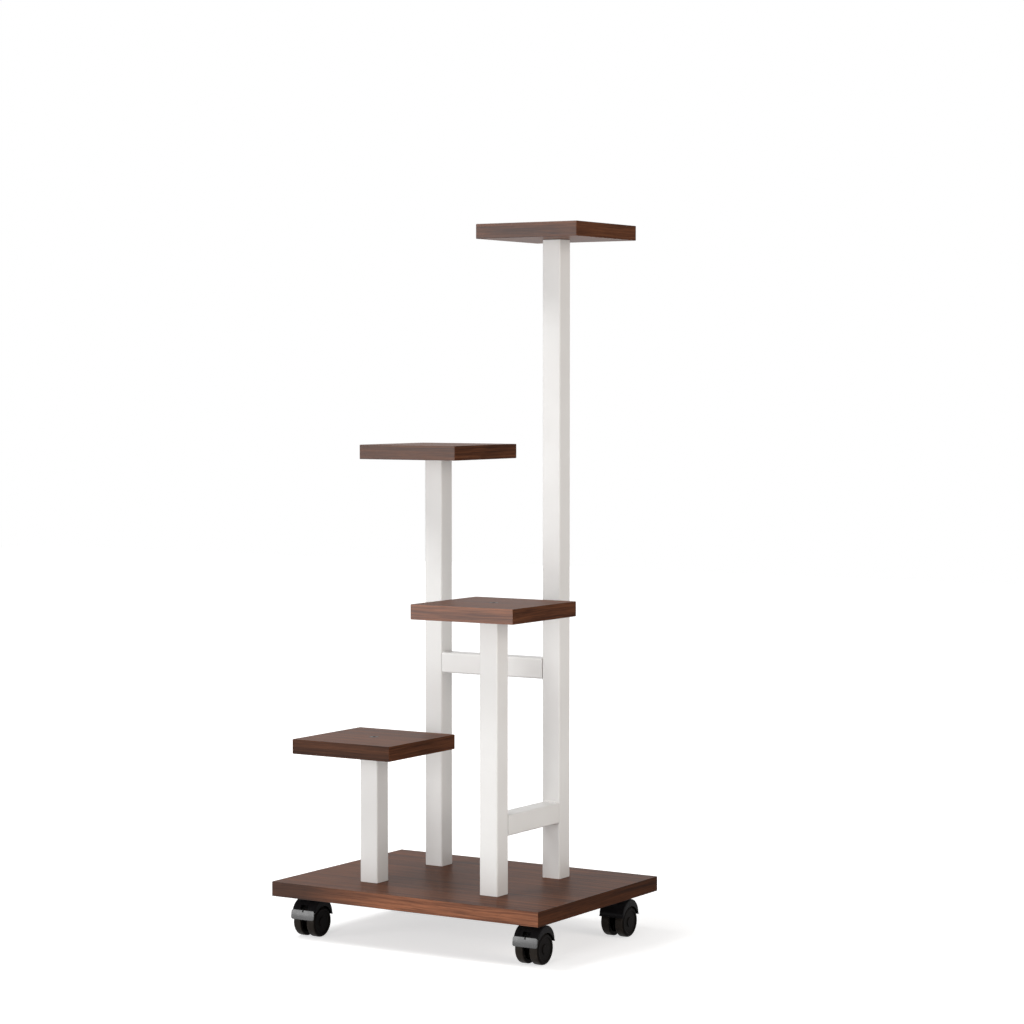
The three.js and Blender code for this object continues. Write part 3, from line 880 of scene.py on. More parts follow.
def push_out(bm: BMesh, move: Vector) -> None:
    """Makes a flat mesh a solid by extruding it.

    Args:
        bm: the flat mesh, changed in place.
        move: how far and which way it is extruded.
    """
    grown = bmesh.ops.extrude_face_region(bm, geom=list(bm.faces), use_keep_orig=True)["geom"]
    bmesh.ops.translate(bm, verts=[g for g in grown if isinstance(g, BMVert)], vec=move)
    bmesh.ops.recalc_face_normals(bm, faces=bm.faces)
    bm.normal_update()


def turn_towards(bm: BMesh, direction: Vector) -> None:
    """Turns an open sheet's normals so that most of it faces a direction.

    Args:
        bm: the open sheet, changed in place.
        direction: where most of it has to face.
    """
    bmesh.ops.recalc_face_normals(bm, faces=bm.faces)
    bm.normal_update()
    if sum(f.normal.dot(direction) * f.calc_area() for f in bm.faces) < 0:
        bmesh.ops.reverse_faces(bm, faces=bm.faces)


def join(*parts: BMesh) -> BMesh:
    """Moves several meshes into the first one and returns it.

    Args:
        *parts: the meshes; all but the first are freed.

    Returns:
        The first mesh, with the others in it.
    """
    whole = parts[0]
    for part in parts[1:]:
        carrier = bpy.data.meshes.new("carrier")
        part.to_mesh(carrier)
        part.free()
        whole.from_mesh(carrier)
        bpy.data.meshes.remove(carrier)
    return whole


def finish_piece(
    bm: BMesh,
    name: str,
    body: str,
    finishes: Sequence[Finish],
    replaces: Sequence[str] = (),
    place: Matrix | None = None,
) -> None:
    """Turns a mesh into a dressed piece that rides on a body, and reports it.

    Args:
        bm: the mesh, which is freed.
        name: the piece's name.
        body: the body that it moves with.
        finishes: its finishes, in the order of its faces' material numbers.
        replaces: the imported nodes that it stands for.
        place: carries the mesh from where it was drawn to where it belongs.
    """
    if place is not None:
        bmesh.ops.transform(bm, matrix=place, verts=bm.verts)
    bmesh.ops.remove_doubles(bm, verts=bm.verts, dist=SAME_POINT)
    bmesh.ops.recalc_face_normals(bm, faces=bm.faces)
    for polygon in bm.faces:
        polygon.smooth = True
    for edge in bm.edges:
        edge.smooth = len(edge.link_faces) == 2 and edge.calc_face_angle(0.0) < SHARP_ANGLE
    mesh = bpy.data.meshes.new(name)
    bm.to_mesh(mesh)
    bm.free()
    for finish in finishes:
        mesh.materials.append(finish.material())
    piece = bpy.data.objects.new(name, mesh)
    bpy.context.scene.collection.objects.link(piece)
    piece.modifiers.new("flat_faces_stay_flat", "WEIGHTED_NORMAL").keep_sharp = True
    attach(piece, body)
    if replaces:
        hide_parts(*replaces)
    LOG.info("%s: %d faces, on %s", name, len(mesh.polygons), body)


# ---------------------------------------------------------------------------
# Boards
# ---------------------------------------------------------------------------


@dataclass
class Boards:
    """The base and the four shelves: walnut laminate faces with an edge band all round."""

    corner: float = 1.5 * MM
    arris: float = 0.8 * MM
    bore: float = 3.3 * MM
    sink_radius: float = 6.3 * MM
    sink_depth: float = 3.4 * MM
    recess_radius: float = 7.5 * MM
    recess_depth: float = 6.0 * MM
    seat_depth: float = 0.5 * MM
    seat_gap: float = 0.3 * MM
    hole_steps: int = 40

    def build(self) -> None:
        """Builds the base and the shelves."""
        for corner in Corner:
            self.shelf(corner)
        self.base()

    def blank(self, node: str) -> tuple[BMesh, Vector, Vector]:
        """Makes a board of a node's size, its faces laminate and its edges banded.

        Args:
            node: the board's node.

        Returns:
            The board's mesh and the low and high corners of its box.
        """
        low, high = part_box(node)
        bm = rounded_block(low, high, Axis.Z, self.corner, self.arris)
        bm.normal_update()
        face_finish, band_finish, end_finish = range(3)
        for face in bm.faces:
            is_end = abs(face.normal.x) > MOSTLY
            face.material_index = end_finish if is_end else band_finish
        for face in ends_of(bm, Axis.Z):
            face.material_index = face_finish
        return bm, low, high

    def flat_face(self, bm: BMesh, upward: bool) -> BMFace:
        """Finds a board's top or bottom face."""
        return max(bm.faces, key=lambda f: f.calc_area() * (f.normal.z if upward else -f.normal.z))

    def shelf(self, corner: Corner) -> None:
        """Builds a shelf with its countersunk hole in the middle.

        Args:
            corner: the corner whose post carries the shelf.
        """
        node = f"shelf_{corner.value}"
        bm, low, high = self.blank(node)
        middle = (low + high) / 2
        upper = loop_at(bm, self.sink_radius, self.hole_steps, at(middle.x, middle.y, high.z))
        lower = loop_at(bm, self.bore, self.hole_steps, at(middle.x, middle.y, low.z))
        refill(bm, self.flat_face(bm, True), [upper])
        refill(bm, self.flat_face(bm, False), [lower])
        throat = draw_out(bm, upper, Axis.Z.vector * -self.sink_depth, self.bore / self.sink_radius)
        bmesh.ops.bridge_loops(bm, edges=throat + lower)
        # Painted light: each shelf's front band is drawn lighter or darker by its own factor, and gets
        # its own gloss.
        front, gloss = SHELF_FRONT_LIGHT_AND_GLOSS[corner]
        band = replace(WALNUT_BAND, name=f"walnut_band_{corner.value}", front=front, gloss=gloss)
        finish_piece(bm, f"{node}_board", STAND, (WALNUT_FACE, band, END_BAND), (node,))

    def seat_outline(self, bm: BMesh, corner: Corner, level: float) -> list[BMEdge]:
        """Draws the square that a post's foot stands in.

        Args:
            bm: the base board's mesh.
            corner: the post's corner.
            level: the height of the outline.

        Returns:
            The outline's four edges.
        """
        low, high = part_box(f"post_{corner.value}")
        middle, side = (low + high) / 2, high.x - low.x + 2 * self.seat_gap
        place = at(middle.x, middle.y, level) @ Matrix.Rotation(math.radians(45), 4, "Z")
        return loop_at(bm, side / math.sqrt(2), 4, place)

    def base(self) -> None:
        """Builds the base board with the recesses for its bolts and the seats of its posts."""
        bm, low, high = self.blank("base_board")
        recesses = []
        for corner in Corner:
            axis = sum(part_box(f"base_bolt_{corner.value}"), Vector()) / 2
            place = at(axis.x, axis.y, low.z)
            recesses.append(loop_at(bm, self.recess_radius, self.hole_steps, place))
        seats = [self.seat_outline(bm, corner, high.z) for corner in Corner]
        refill(bm, self.flat_face(bm, False), recesses)
        refill(bm, self.flat_face(bm, True), seats)
        for loops, depth in ((recesses, self.recess_depth), (seats, -self.seat_depth)):
            for loop in loops:
                close_loop(bm, draw_out(bm, loop, Axis.Z.vector * depth))
        finishes = (WALNUT_FACE, BASE_BAND, BASE_END_BAND)
        finish_piece(bm, "base_board_panel", STAND, finishes, ("base_board",))


# ---------------------------------------------------------------------------
# Steel frame
# ---------------------------------------------------------------------------


@dataclass
class SteelFrame:
    """Four posts and two rails of square tube, welded and powder coated."""

    corner: float = 2.0 * MM
    end_arris: float = 0.3 * MM
    bead_radius: float = 2.0 * MM
    bead_pitch: float = 1.6 * MM
    bead_ripple: float = 0.22 * MM
    bead_steps: int = 12
    bead_tip: float = 0.4
    bead_taper: float = 6.0
    rings_per_ripple: int = 4

    def build(self) -> None:
        """Builds the tubes and the weld beads over and under each rail's ends."""
        for corner in Corner:
            self.tube(f"post_{corner.value}", Axis.Z)
        self.tube("rear_rail", Axis.X)
        self.tube("side_rail", Axis.Y)
        self.beads("rear_rail", Axis.X, Axis.Y)
        self.beads("side_rail", Axis.Y, Axis.X)

    def tube(self, node: str, along: Axis) -> None:
        """Builds one tube with rounded corners in the place of its node.

        Args:
            node: the post's or rail's node.
            along: the tube's length.
        """
        low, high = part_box(node)
        bm = rounded_block(low, high, along, self.corner, self.end_arris, 6)
        finish_piece(bm, f"{node}_tube", STAND, (WHITE_COAT,), (node,))

    def beads(self, node: str, along: Axis, across: Axis) -> None:
        """Builds the beads where a rail meets its posts.

        Args:
            node: the rail's node.
            along: the rail's length.
            across: the direction that the beads run in.
        """
        low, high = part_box(node)
        index = list(Axis).index(along)
        middle = (low + high) / 2
        for end, side in ((low, "start"), (high, "end")):
            for level, edge in ((low.z, "under"), (high.z, "over")):
                centre = middle.copy()
                centre[index] = end[index]
                centre.z = level
                width = abs((high - low).dot(across.vector)) - 2 * self.corner
                self.bead(centre, across, width, f"{node}_weld_{side}_{edge}")

    def bead(self, centre: Vector, across: Axis, width: float, name: str) -> None:
        """Builds one bead, a stack of rippled rings that taper at both ends.

        Args:
            centre: the bead's middle.
            across: the direction that it runs in.
            width: its length along that direction.
            name: its piece's name.
        """
        rings = round(width / self.bead_pitch * self.rings_per_ripple)
        bm = bmesh.new()
        start = at(*centre) @ across.from_upright @ at(0.0, 0.0, -width / 2)
        loop = loop_at(bm, self.bead_radius * self.bead_tip, self.bead_steps, start)
        close_loop(bm, loop)
        step = across.vector * (width / rings)
        last = self.bead_tip
        for ring in range(1, rings + 1):
            share = ring / rings
            taper = min(1.0, self.bead_tip + self.bead_taper * min(share, 1 - share))
            wave = abs(math.sin(math.pi * ring / self.rings_per_ripple))
            size = taper * (1 - self.bead_ripple / self.bead_radius * wave)
            loop = draw_out(bm, loop, step, size / last)
            last = size
        close_loop(bm, loop)
        finish_piece(bm, name, STAND, (WHITE_COAT,))


# ---------------------------------------------------------------------------
# Fasteners
# ---------------------------------------------------------------------------


@dataclass
class Fasteners:
    """Bolts under the base, screws in the shelves, and the wood screws of the caster plates."""

    socket_flats: float = 4.0 * MM
    socket_depth: float = 2.2 * MM
    cross_reach: float = 2.1 * MM
    cross_width: float = 0.45 * MM
    cross_depth: float = 1.3 * MM
    cross_taper: float = 0.45

    shank: float = 3.0 * MM
    shank_end: float = 2.2 * MM
    point: float = 0.8 * MM
    button_radius: float = 6.0 * MM
    button_height: float = 3.6 * MM
    sunk_radius: float = 6.0 * MM
    sunk_height: float = 3.4 * MM
    pan_radius: float = 3.8 * MM
    pan_height: float = 2.1 * MM
    wood_shank: float = 1.75 * MM
    wood_point: float = 4.0 * MM

    def build(self, casters: Iterable[Caster]) -> None:
        """Builds every fastener of the stand.

        Args:
            casters: the casters whose plates are screwed on.
        """
        for corner in Corner:
            self.base_bolt(f"base_bolt_{corner.value}")
            self.shelf_screw(f"shelf_screw_{corner.value}")
        for caster in casters:
            for number in range(1, 5):
                self.plate_screw(caster.node(f"screw_{number}"))

    def axis_of(self, node: str) -> tuple[Vector, Vector, Vector]:
        """Gives a node's middle and its lowest and highest corner."""
        low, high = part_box(node)
        return (low + high) / 2, low, high

    def cut_recess(
        self, bm: BMesh, outline: list[Vector], level: float, depth: float, taper: float = 1.0
    ) -> None:
        """Sinks a recess of a given outline into the flat cap at a level.

        Args:
            bm: the body.
            outline: the recess's corners, about the body's axis.
            level: the height of the flat cap.
            depth: how far the recess runs down, or up where it is negative.
            taper: the size of its floor as a share of its mouth.
        """
        bm.faces.ensure_lookup_table()
        fans = [f for f in bm.faces if all(abs(v.co.z - level) < SAME_POINT for v in f.verts)]
        cap = bmesh.utils.face_join(fans) if len(fans) > 1 else fans[0]
        corners = [bm.verts.new((p.x, p.y, level)) for p in outline]
        ring = [bm.edges.new((a, b)) for a, b in zip(corners, corners[1:] + corners[:1])]
        refill(bm, cap, [ring])
        close_loop(bm, draw_out(bm, ring, Axis.Z.vector * -depth, taper))

    def hexagon(self) -> list[Vector]:
        """The outline of a hexagonal socket.

        Returns:
            Six points round the origin, in order.
        """
        radius = self.socket_flats / math.sqrt(3)
        turns = [math.radians(60 * i) for i in range(6)]
        return [Vector((radius * math.cos(t), radius * math.sin(t), 0.0)) for t in turns]

    def cross(self) -> list[Vector]:
        """The outline of a cross recess.

        Returns:
            Twelve points round the origin, in order.
        """
        reach, width = self.cross_reach, self.cross_width
        arm = [Vector((reach, -width, 0.0)), Vector((reach, width, 0.0)), Vector((width, width, 0.0))]
        turns = [Matrix.Rotation(math.radians(90 * i), 3, "Z") for i in range(4)]
        return [turn @ point for turn in turns for point in arm]

    def base_bolt(self, node: str) -> None:
        """Builds the button-head bolt that draws a post down.

        Args:
            node: the fastener's node.
        """
        middle, low, high = self.axis_of(node)
        length = high.z - low.z
        head, height = self.button_radius, self.button_height
        profile = [
            (0.0, 0.0),
            (head - 2.6 * MM, 0.0),
            (head - 1.4 * MM, 0.35 * MM),
            (head - 0.5 * MM, 1.2 * MM),
            (head, height - 1.0 * MM),
            (head, height),
            (self.shank, height),
            (self.shank, length - self.point),
            (self.shank_end, length),
            (0.0, length),
        ]
        bm = turned(profile, Matrix.Identity(4))
        self.cut_recess(bm, self.hexagon(), 0.0, -self.socket_depth)
        finish_piece(bm, f"{node}_m6", STAND, (ZINC,), (node,), at(middle.x, middle.y, low.z))

    def shelf_screw(self, node: str) -> None:
        """Builds the countersunk screw that holds a shelf down.

        Args:
            node: the fastener's node.
        """
        middle, low, high = self.axis_of(node)
        length = high.z - low.z
        head = self.sunk_radius
        profile = [
            (0.0, -length),
            (self.shank_end, -length),
            (self.shank, self.point - length),
            (self.shank, -self.sunk_height),
            (head - 0.15 * MM, -0.35 * MM),
            (head, -0.15 * MM),
            (head - 0.2 * MM, 0.0),
            (0.0, 0.0),
        ]
        bm = turned(profile, Matrix.Identity(4))
        self.cut_recess(bm, self.hexagon(), 0.0, self.socket_depth)
        finish_piece(bm, f"{node}_m6", STAND, (BLACK_OXIDE,), (node,), at(middle.x, middle.y, high.z))

    def plate_screw(self, node: str) -> None:
        """Builds a pan-head wood screw with a cross recess.

        Args:
            node: the fastener's node.
        """
        middle, low, high = self.axis_of(node)
        head, height = self.pan_radius, self.pan_height
        length = high.z - low.z - height
        profile = [
            (0.0, -height),
            (head - 1.2 * MM, -height),
            (head - 0.5 * MM, 0.35 * MM - height),
            (head - 0.1 * MM, -1.0 * MM),
            (head, -0.3 * MM),
            (head, 0.0),
            (self.wood_shank, 0.0),
            (self.wood_shank, length - self.wood_point),
            (0.0, length),
        ]
        bm = turned(profile, Matrix.Identity(4), 32)
        self.cut_recess(bm, self.cross(), -height, -self.cross_depth, self.cross_taper)
        place = at(middle.x, middle.y, low.z + height)
        finish_piece(bm, f"{node}_pan_head", STAND, (ZINC,), (node,), place)


# ---------------------------------------------------------------------------
# Casters
# ---------------------------------------------------------------------------


class Side(Enum):
    """The side of its caster that a wheel is on, as its share of +X."""

    RIGHT = 1.0
    LEFT = -1.0


@dataclass
class Caster:
    """A hooded twin-wheel swivel caster, drawn over its own wheels with the brake in front."""

    corner: Corner
    brake: bool
    turn: float
    place: Matrix = field(init=False)
    play: float = 0.3 * MM
    trail: float = 8.0 * MM

    wheel_radius: float = 18.5 * MM
    wheel_inner: float = 4.7 * MM
    wheel_outer: float = 16.0 * MM
    rim_thickness: float = 4.6 * MM
    tread_depth: float = 0.9 * MM
    shoulder: float = 3.4 * MM
    hub_radius: float = 6.0 * MM
    web: float = 2.9 * MM
    spokes: int = 5
    spoke_half_width: float = 0.6 * MM
    spoke_depth: float = 5.6 * MM
    axle_radius: float = 2.5 * MM
    axle_half_length: float = 13.6 * MM

    hood_half_width: float = 16.8 * MM
    hood_radius: float = 19.4 * MM
    hood_centre: float = 27.0 * MM
    hood_rim: float = 25.5 * MM
    hood_wall: float = 1.4 * MM
    bead_height: float = 1.8 * MM
    bead_proud: float = 0.6 * MM
    bead_slope: float = 0.35 * MM
    arc_steps: int = 96
    rib_half_width: float = 4.2 * MM
    rib_hub: float = 6.5 * MM
    rib_back: float = 15.4 * MM
    rib_foot: float = 33.0 * MM
    boss_bottom: float = 37.3 * MM
    boss_radius: float = 6.4 * MM
    pad_radius: float = 8.5 * MM
    pad_height: float = 5.0 * MM
    pad_top: float = 48.2 * MM
    kingpin_radius: float = 3.4 * MM
    kingpin_head: float = 5.0 * MM
    plate_thickness: float = 2.0 * MM
    plate_corner: float = 4.0 * MM
    plate_arris: float = 0.35 * MM
    seat_radius: float = 10.4 * MM
    seat_depth: float = 1.2 * MM

    front_cut: float = 31.8 * MM
    notch_half_width: float = 5.5 * MM
    notch_top: float = 40.0 * MM
    pivot: tuple[float, float] = (-8.0 * MM, 30.5 * MM)
    pedal_pin_radius: float = 1.0 * MM
    eye_radius: float = 2.2 * MM
    visor_front: float = -21.1 * MM
    visor_bottom: float = 22.6 * MM
    visor_top: float = 34.2 * MM
    visor_wall: float = 1.0 * MM
    visor_corner: float = 2.4 * MM
    visor_lean: float = 1.75 * MM
    nick_half_width: float = 0.8 * MM
    nick_depth: float = 2.6 * MM
    neck: tuple[tuple[float, float, float], tuple[float, float, float]] = (
        (-4.5 * MM, -19.7 * MM, 29.0 * MM),
        (4.5 * MM, -14.6 * MM, 31.2 * MM),
    )
    tongue: tuple[tuple[float, float, float], tuple[float, float, float]] = (
        (-2.0 * MM, -14.9 * MM, 29.0 * MM),
        (2.0 * MM, -8.0 * MM, 32.4 * MM),
    )
    shoe_inner: float = 19.2 * MM
    shoe_outer: float = 21.0 * MM
    shoe_half_width: float = 14.8 * MM
    shoe_reach: tuple[float, float] = (math.radians(36), math.radians(56))

    def __post_init__(self) -> None:
        """Reads the caster's place from its axle."""
        low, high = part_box(self.node("axle"))
        middle = (low + high) / 2
        self.place = at(middle.x, middle.y, 0.0) @ Matrix.Rotation(self.turn, 4, "Z")

    @property
    def fork_body(self) -> str:
        """The body that swivels."""
        return f"{self.corner.value}_caster"

    def node(self, part: str) -> str:
        """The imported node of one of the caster's parts."""
        return f"caster_{self.corner.value}_{part}"

    def crosswise(self, y: float, z: float, x: float = 0.0) -> Matrix:
        """The place of an axis along X that starts at a point."""
        return at(x, y, z) @ Axis.X.from_upright

    def build(self) -> None:
        """Builds the caster's pieces."""
        self.plate()
        self.hood()
        self.axle()
        for side in Side:
            self.wheel(side)
        if self.brake:
            self.pedal()
            self.pedal_pin()

    def plate(self) -> None:
        """Builds the mounting plate with its dished seat and riveted kingpin."""
        low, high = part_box(self.node("plate"))
        bottom = high.z - self.plate_thickness
        seat = bottom - self.seat_depth
        axis = (low + high) / 2
        head, dish, soft, sunk = self.kingpin_head, self.seat_radius, 1.1 * MM, 0.3 * MM
        head_top = self.boss_bottom - self.play
        profile = [
            (0.0, low.z),
            *arc((head - soft, low.z + soft), soft, -90, 0, 5),
            (head, head_top),
            (self.kingpin_radius, head_top),
            (self.kingpin_radius, seat),
            *arc((dish - soft, seat + soft), soft, -90, -30, 4),
            (dish + 1.0 * MM, bottom + sunk),
            (0.0, bottom + sunk),
        ]
        corner = Vector((low.x, low.y, bottom))
        sheet = rounded_block(corner, high, Axis.Z, self.plate_corner, self.plate_arris)
        kingpin = turned(profile, at(axis.x, axis.y, 0.0))
        name = self.node("plate")
        finish_piece(join(sheet, kingpin), f"{name}_steel", STAND, (ZINC,), (name,))

    def hood(self) -> None:
        """Builds the moulded hood: arched shell, swivel pad and the rib that holds the axle."""
        shell = self.arched_blank()
        self.open_sides(shell)
        slice_at(shell, self.hood_rim + self.bead_height, Axis.Z)
        if self.brake:
            self.open_front(shell)
        self.thicken(shell)
        name, whole = self.node("hood"), join(shell, self.rib(), self.swivel_pad())
        finish_piece(whole, f"{name}_moulding", self.fork_body, (HOOD_PLASTIC,), (name,), self.place)

    def arched_blank(self) -> BMesh:
        """Makes the hood's outside, a drum cut off level at the rim, its side edges rounded.

        Returns:
            The closed outside, still solid.
        """
        bm = bmesh.new()
        start = self.crosswise(0.0, self.hood_centre, -self.hood_half_width)
        bmesh.ops.create_circle(
            bm, cap_ends=True, radius=self.hood_radius, segments=self.arc_steps, matrix=start
        )
        rim = Axis.Z.vector * self.hood_rim
        whole = [*bm.verts, *bm.edges, *bm.faces]
        bmesh.ops.bisect_plane(bm, geom=whole, plane_co=rim, plane_no=Axis.Z.vector, clear_inner=True)
        push_out(bm, Axis.X.vector * 2 * self.hood_half_width)
        above_rim = self.hood_rim + SAME_POINT
        sides = {e for f in ends_of(bm, Axis.X) for e in f.edges}
        arcs = {e for e in sides if max(v.co.z for v in e.verts) > above_rim}
        round_edges(bm, arcs, self.hood_wall, 5)
        underside = [f for f in bm.faces if all(v.co.z < above_rim for v in f.verts)]
        bmesh.ops.delete(bm, geom=underside, context="FACES")
        return bm

    def open_sides(self, bm: BMesh) -> None:
        """Opens the hood's sides round the wheels, up to an arc about the axle.

        Args:
            bm: the hood's mesh, changed in place.
        """
        bm.normal_update()
        for side in ends_of(bm, Axis.X):
            normal = side.normal.copy()
            sill = min(side.edges, key=lambda e: e.verts[0].co.z + e.verts[1].co.z)
            front, back = sorted(sill.verts, key=lambda v: v.co.y)
            outline = [e for e in side.edges if e is not sill]
            rise = math.degrees(math.atan2(back.co.z - self.wheel_radius, back.co.y))
            radius = math.hypot(back.co.z - self.wheel_radius, back.co.y)
            curve = arc((0.0, self.wheel_radius), radius, rise, 180 - rise, self.arc_steps // 2)
            between = [bm.verts.new((back.co.x, y, z)) for y, z in curve[1:-1]]
            chain = [back, *between, front]
            opening = [bm.edges.new(pair) for pair in zip(chain, chain[1:])]
            bmesh.ops.delete(bm, geom=[side], context="FACES_ONLY")
            bmesh.ops.triangle_fill(
                bm, use_beauty=True, use_dissolve=False, edges=outline + opening, normal=normal
            )
            bmesh.ops.delete(bm, geom=[sill], context="EDGES")

    def open_front(self, bm: BMesh) -> None:
        """Makes room for the pedal: the foot of the front wall goes, and a notch above it.

        Args:
            bm: the hood's mesh, changed in place.
        """
        for level in (self.front_cut, self.notch_top):
            slice_at(bm, level, Axis.Z)
        for side in (-self.notch_half_width, self.notch_half_width):
            slice_at(bm, side, Axis.X)

        def in_opening(point: Vector) -> bool:
            """Tells whether a point of the shell is in the way of the pedal."""
            in_notch = abs(point.x) < self.notch_half_width and point.z < self.notch_top
            return point.y < 0 and (in_notch or point.z < self.front_cut)

        cut_away(bm, in_opening)

    def thicken(self, bm: BMesh) -> None:
        """Gives the hood its wall, and a bead along its rim in front and behind.

        Args:
            bm: the hood's open shell, changed in place.
        """
        turn_towards(bm, Axis.Z.vector)
        bmesh.ops.solidify(bm, geom=list(bm.faces), thickness=self.hood_wall)
        bm.normal_update()
        bead_top, outward = self.hood_rim + self.bead_height, 0.6
        band = []
        for face in bm.faces:
            middle = face.calc_center_median()
            if middle.z < bead_top and face.normal.y * math.copysign(1, middle.y) > outward:
                band.append(face)
        bmesh.ops.inset_region(
            bm,
            faces=band,
            thickness=self.bead_slope,
            depth=self.bead_proud,
            use_even_offset=True,
            use_boundary=True,
        )

    def rib(self) -> BMesh:
        """Makes the middle rib: a web that comes down between the wheels to the axle's hub.

        Returns:
            The rib's mesh.
        """
        roof = self.hood_centre + self.hood_radius - self.hood_wall
        front = self.pivot[0] if self.brake else -self.rib_back
        side = -self.rib_half_width
        bm = bmesh.new()
        start = self.crosswise(0.0, self.wheel_radius, side)
        bmesh.ops.create_circle(bm, cap_ends=False, radius=self.rib_hub, segments=48, matrix=start)
        bm.verts.new((side, self.rib_back, self.rib_foot))
        bm.verts.new((side, 10.0 * MM, roof - 5.0 * MM))
        bm.verts.new((side, front, self.rib_foot))
        bm.verts.new((side, front, roof - 4.0 * MM))
        bmesh.ops.convex_hull(bm, input=bm.verts)
        push_out(bm, Axis.X.vector * 2 * self.rib_half_width)
        return bm

    def swivel_pad(self) -> BMesh:
        """Makes the raised pad and the boss that turn on the kingpin.

        Returns:
            The mesh of the pad and its boss.
        """
        bore, boss, pad = self.kingpin_radius + self.play, self.boss_radius, self.pad_radius
        step, soft = self.pad_top - self.pad_height, 0.4 * MM
        profile = [
            (bore, self.boss_bottom),
            (boss, self.boss_bottom),
            (boss, step),
            (pad, step),
            *arc((pad - soft, self.pad_top - soft), soft, 0, 90, 4),
            (bore, self.pad_top),
            (bore, self.boss_bottom),
        ]
        return turned(profile, at(0.0, self.trail, 0.0))

    def axle(self) -> None:
        """Builds the axle with its rounded ends."""
        radius, half, soft = self.axle_radius, self.axle_half_length, 0.4 * MM
        profile = [
            (0.0, -half),
            *arc((radius - soft, soft - half), soft, -90, 0, 3),
            *arc((radius - soft, half - soft), soft, 0, 90, 3),
            (0.0, half),
        ]
        bm = turned(profile, self.place @ self.crosswise(0.0, self.wheel_radius), 32)
        finish_piece(bm, self.node("axle_pin"), self.fork_body, (ZINC,), (self.node("axle"),))

    def wheel_profile(self) -> list[tuple[float, float]]:
        """The wheel's half section: radius and distance from the caster's middle.

        Returns:
            The section's points, in order round it.
        """
        radius, inner, outer = self.wheel_radius, self.wheel_inner, self.wheel_outer
        bore, hub, hollow = self.axle_radius + self.play, self.hub_radius, radius - self.rim_thickness
        floor, bore_end, dish = outer - self.web, outer - 1.6 * MM, outer - 1.0 * MM
        soft, round_in, cap = 0.3 * MM, 1.0 * MM, 6.2 * MM
        return [
            (0.0, bore_end),
            (bore, bore_end),
            (bore, inner),
            *arc((hub - soft, inner + soft), soft, -90, 0, 3),
            (hub, floor),
            (hollow, floor),
            *arc((hollow + soft, inner + soft), soft, 180, 270, 3),
            *arc((radius - round_in, inner + round_in), round_in, -90, 0, 5),
            *arc((radius - self.shoulder, outer - self.shoulder), self.shoulder, 0, 90, 9),
            *arc((radius - self.shoulder - 0.5 * MM, outer - 0.8 * MM), 0.8 * MM, 90, 130, 3),
            *arc((hollow - 0.6 * MM, dish + 0.5 * MM), 0.5 * MM, -50, -90, 3),
            *arc((cap + 0.4 * MM, dish + 0.4 * MM), 0.4 * MM, 270, 190, 4),
            *arc((cap - 0.5 * MM, outer - 0.5 * MM), 0.5 * MM, 20, 90, 4),
            (0.0, outer),
        ]

    def wheel(self, side: Side) -> None:
        """Builds a wheel: rounded tread, dished face with a hub cap, and a spoked hollow inside.

        Args:
            side: which of the caster's two wheels it is.
        """
        bm = turned(self.wheel_profile(), Matrix.Identity(4), 80)
        for face in bm.faces:
            on_tread = face.calc_center_median().xy.length > self.wheel_radius - self.tread_depth
            face.material_index = 1 if on_tread else 0
        floor, half, sunk = self.wheel_outer - self.web, self.spoke_half_width, 0.3 * MM
        low = Vector((self.hub_radius - sunk, -half, floor - self.spoke_depth))
        high = Vector((self.wheel_radius - self.rim_thickness + sunk, half, floor + sunk))
        for number in range(self.spokes):
            spoke = rounded_block(low, high, Axis.X, 0.2 * MM, 0.0, 2)
            turn = Matrix.Rotation(math.tau * number / self.spokes, 4, "Z")
            bmesh.ops.transform(spoke, matrix=turn, verts=spoke.verts)
            bm = join(bm, spoke)
        mirror = Matrix.Diagonal((side.value, 1.0, 1.0, 1.0))
        place = self.place @ mirror @ self.crosswise(0.0, self.wheel_radius)
        part = f"wheel_{side.name.lower()}"
        name, body = self.node(part), f"{self.corner.value}_{part}"
        finish_piece(bm, f"{name}_moulding", body, (WHEEL_PLASTIC, TREAD_PLASTIC), (name,), place)

    def pedal(self) -> None:
        """Builds the brake pedal: a visor that closes the hood's front, its neck, shoe and eye."""
        neck = rounded_block(*map(Vector, self.neck), Axis.Y, 0.5 * MM, 0.0)
        tongue = rounded_block(*map(Vector, self.tongue), Axis.Y, 0.4 * MM, 0.0)
        whole = join(self.visor(), neck, tongue, self.shoe(), self.eye())
        name, body = self.node("brake_pedal"), f"{self.corner.value}_pedal"
        finish_piece(whole, f"{name}_moulding", body, (PEDAL_PLASTIC,), (name,), self.place)

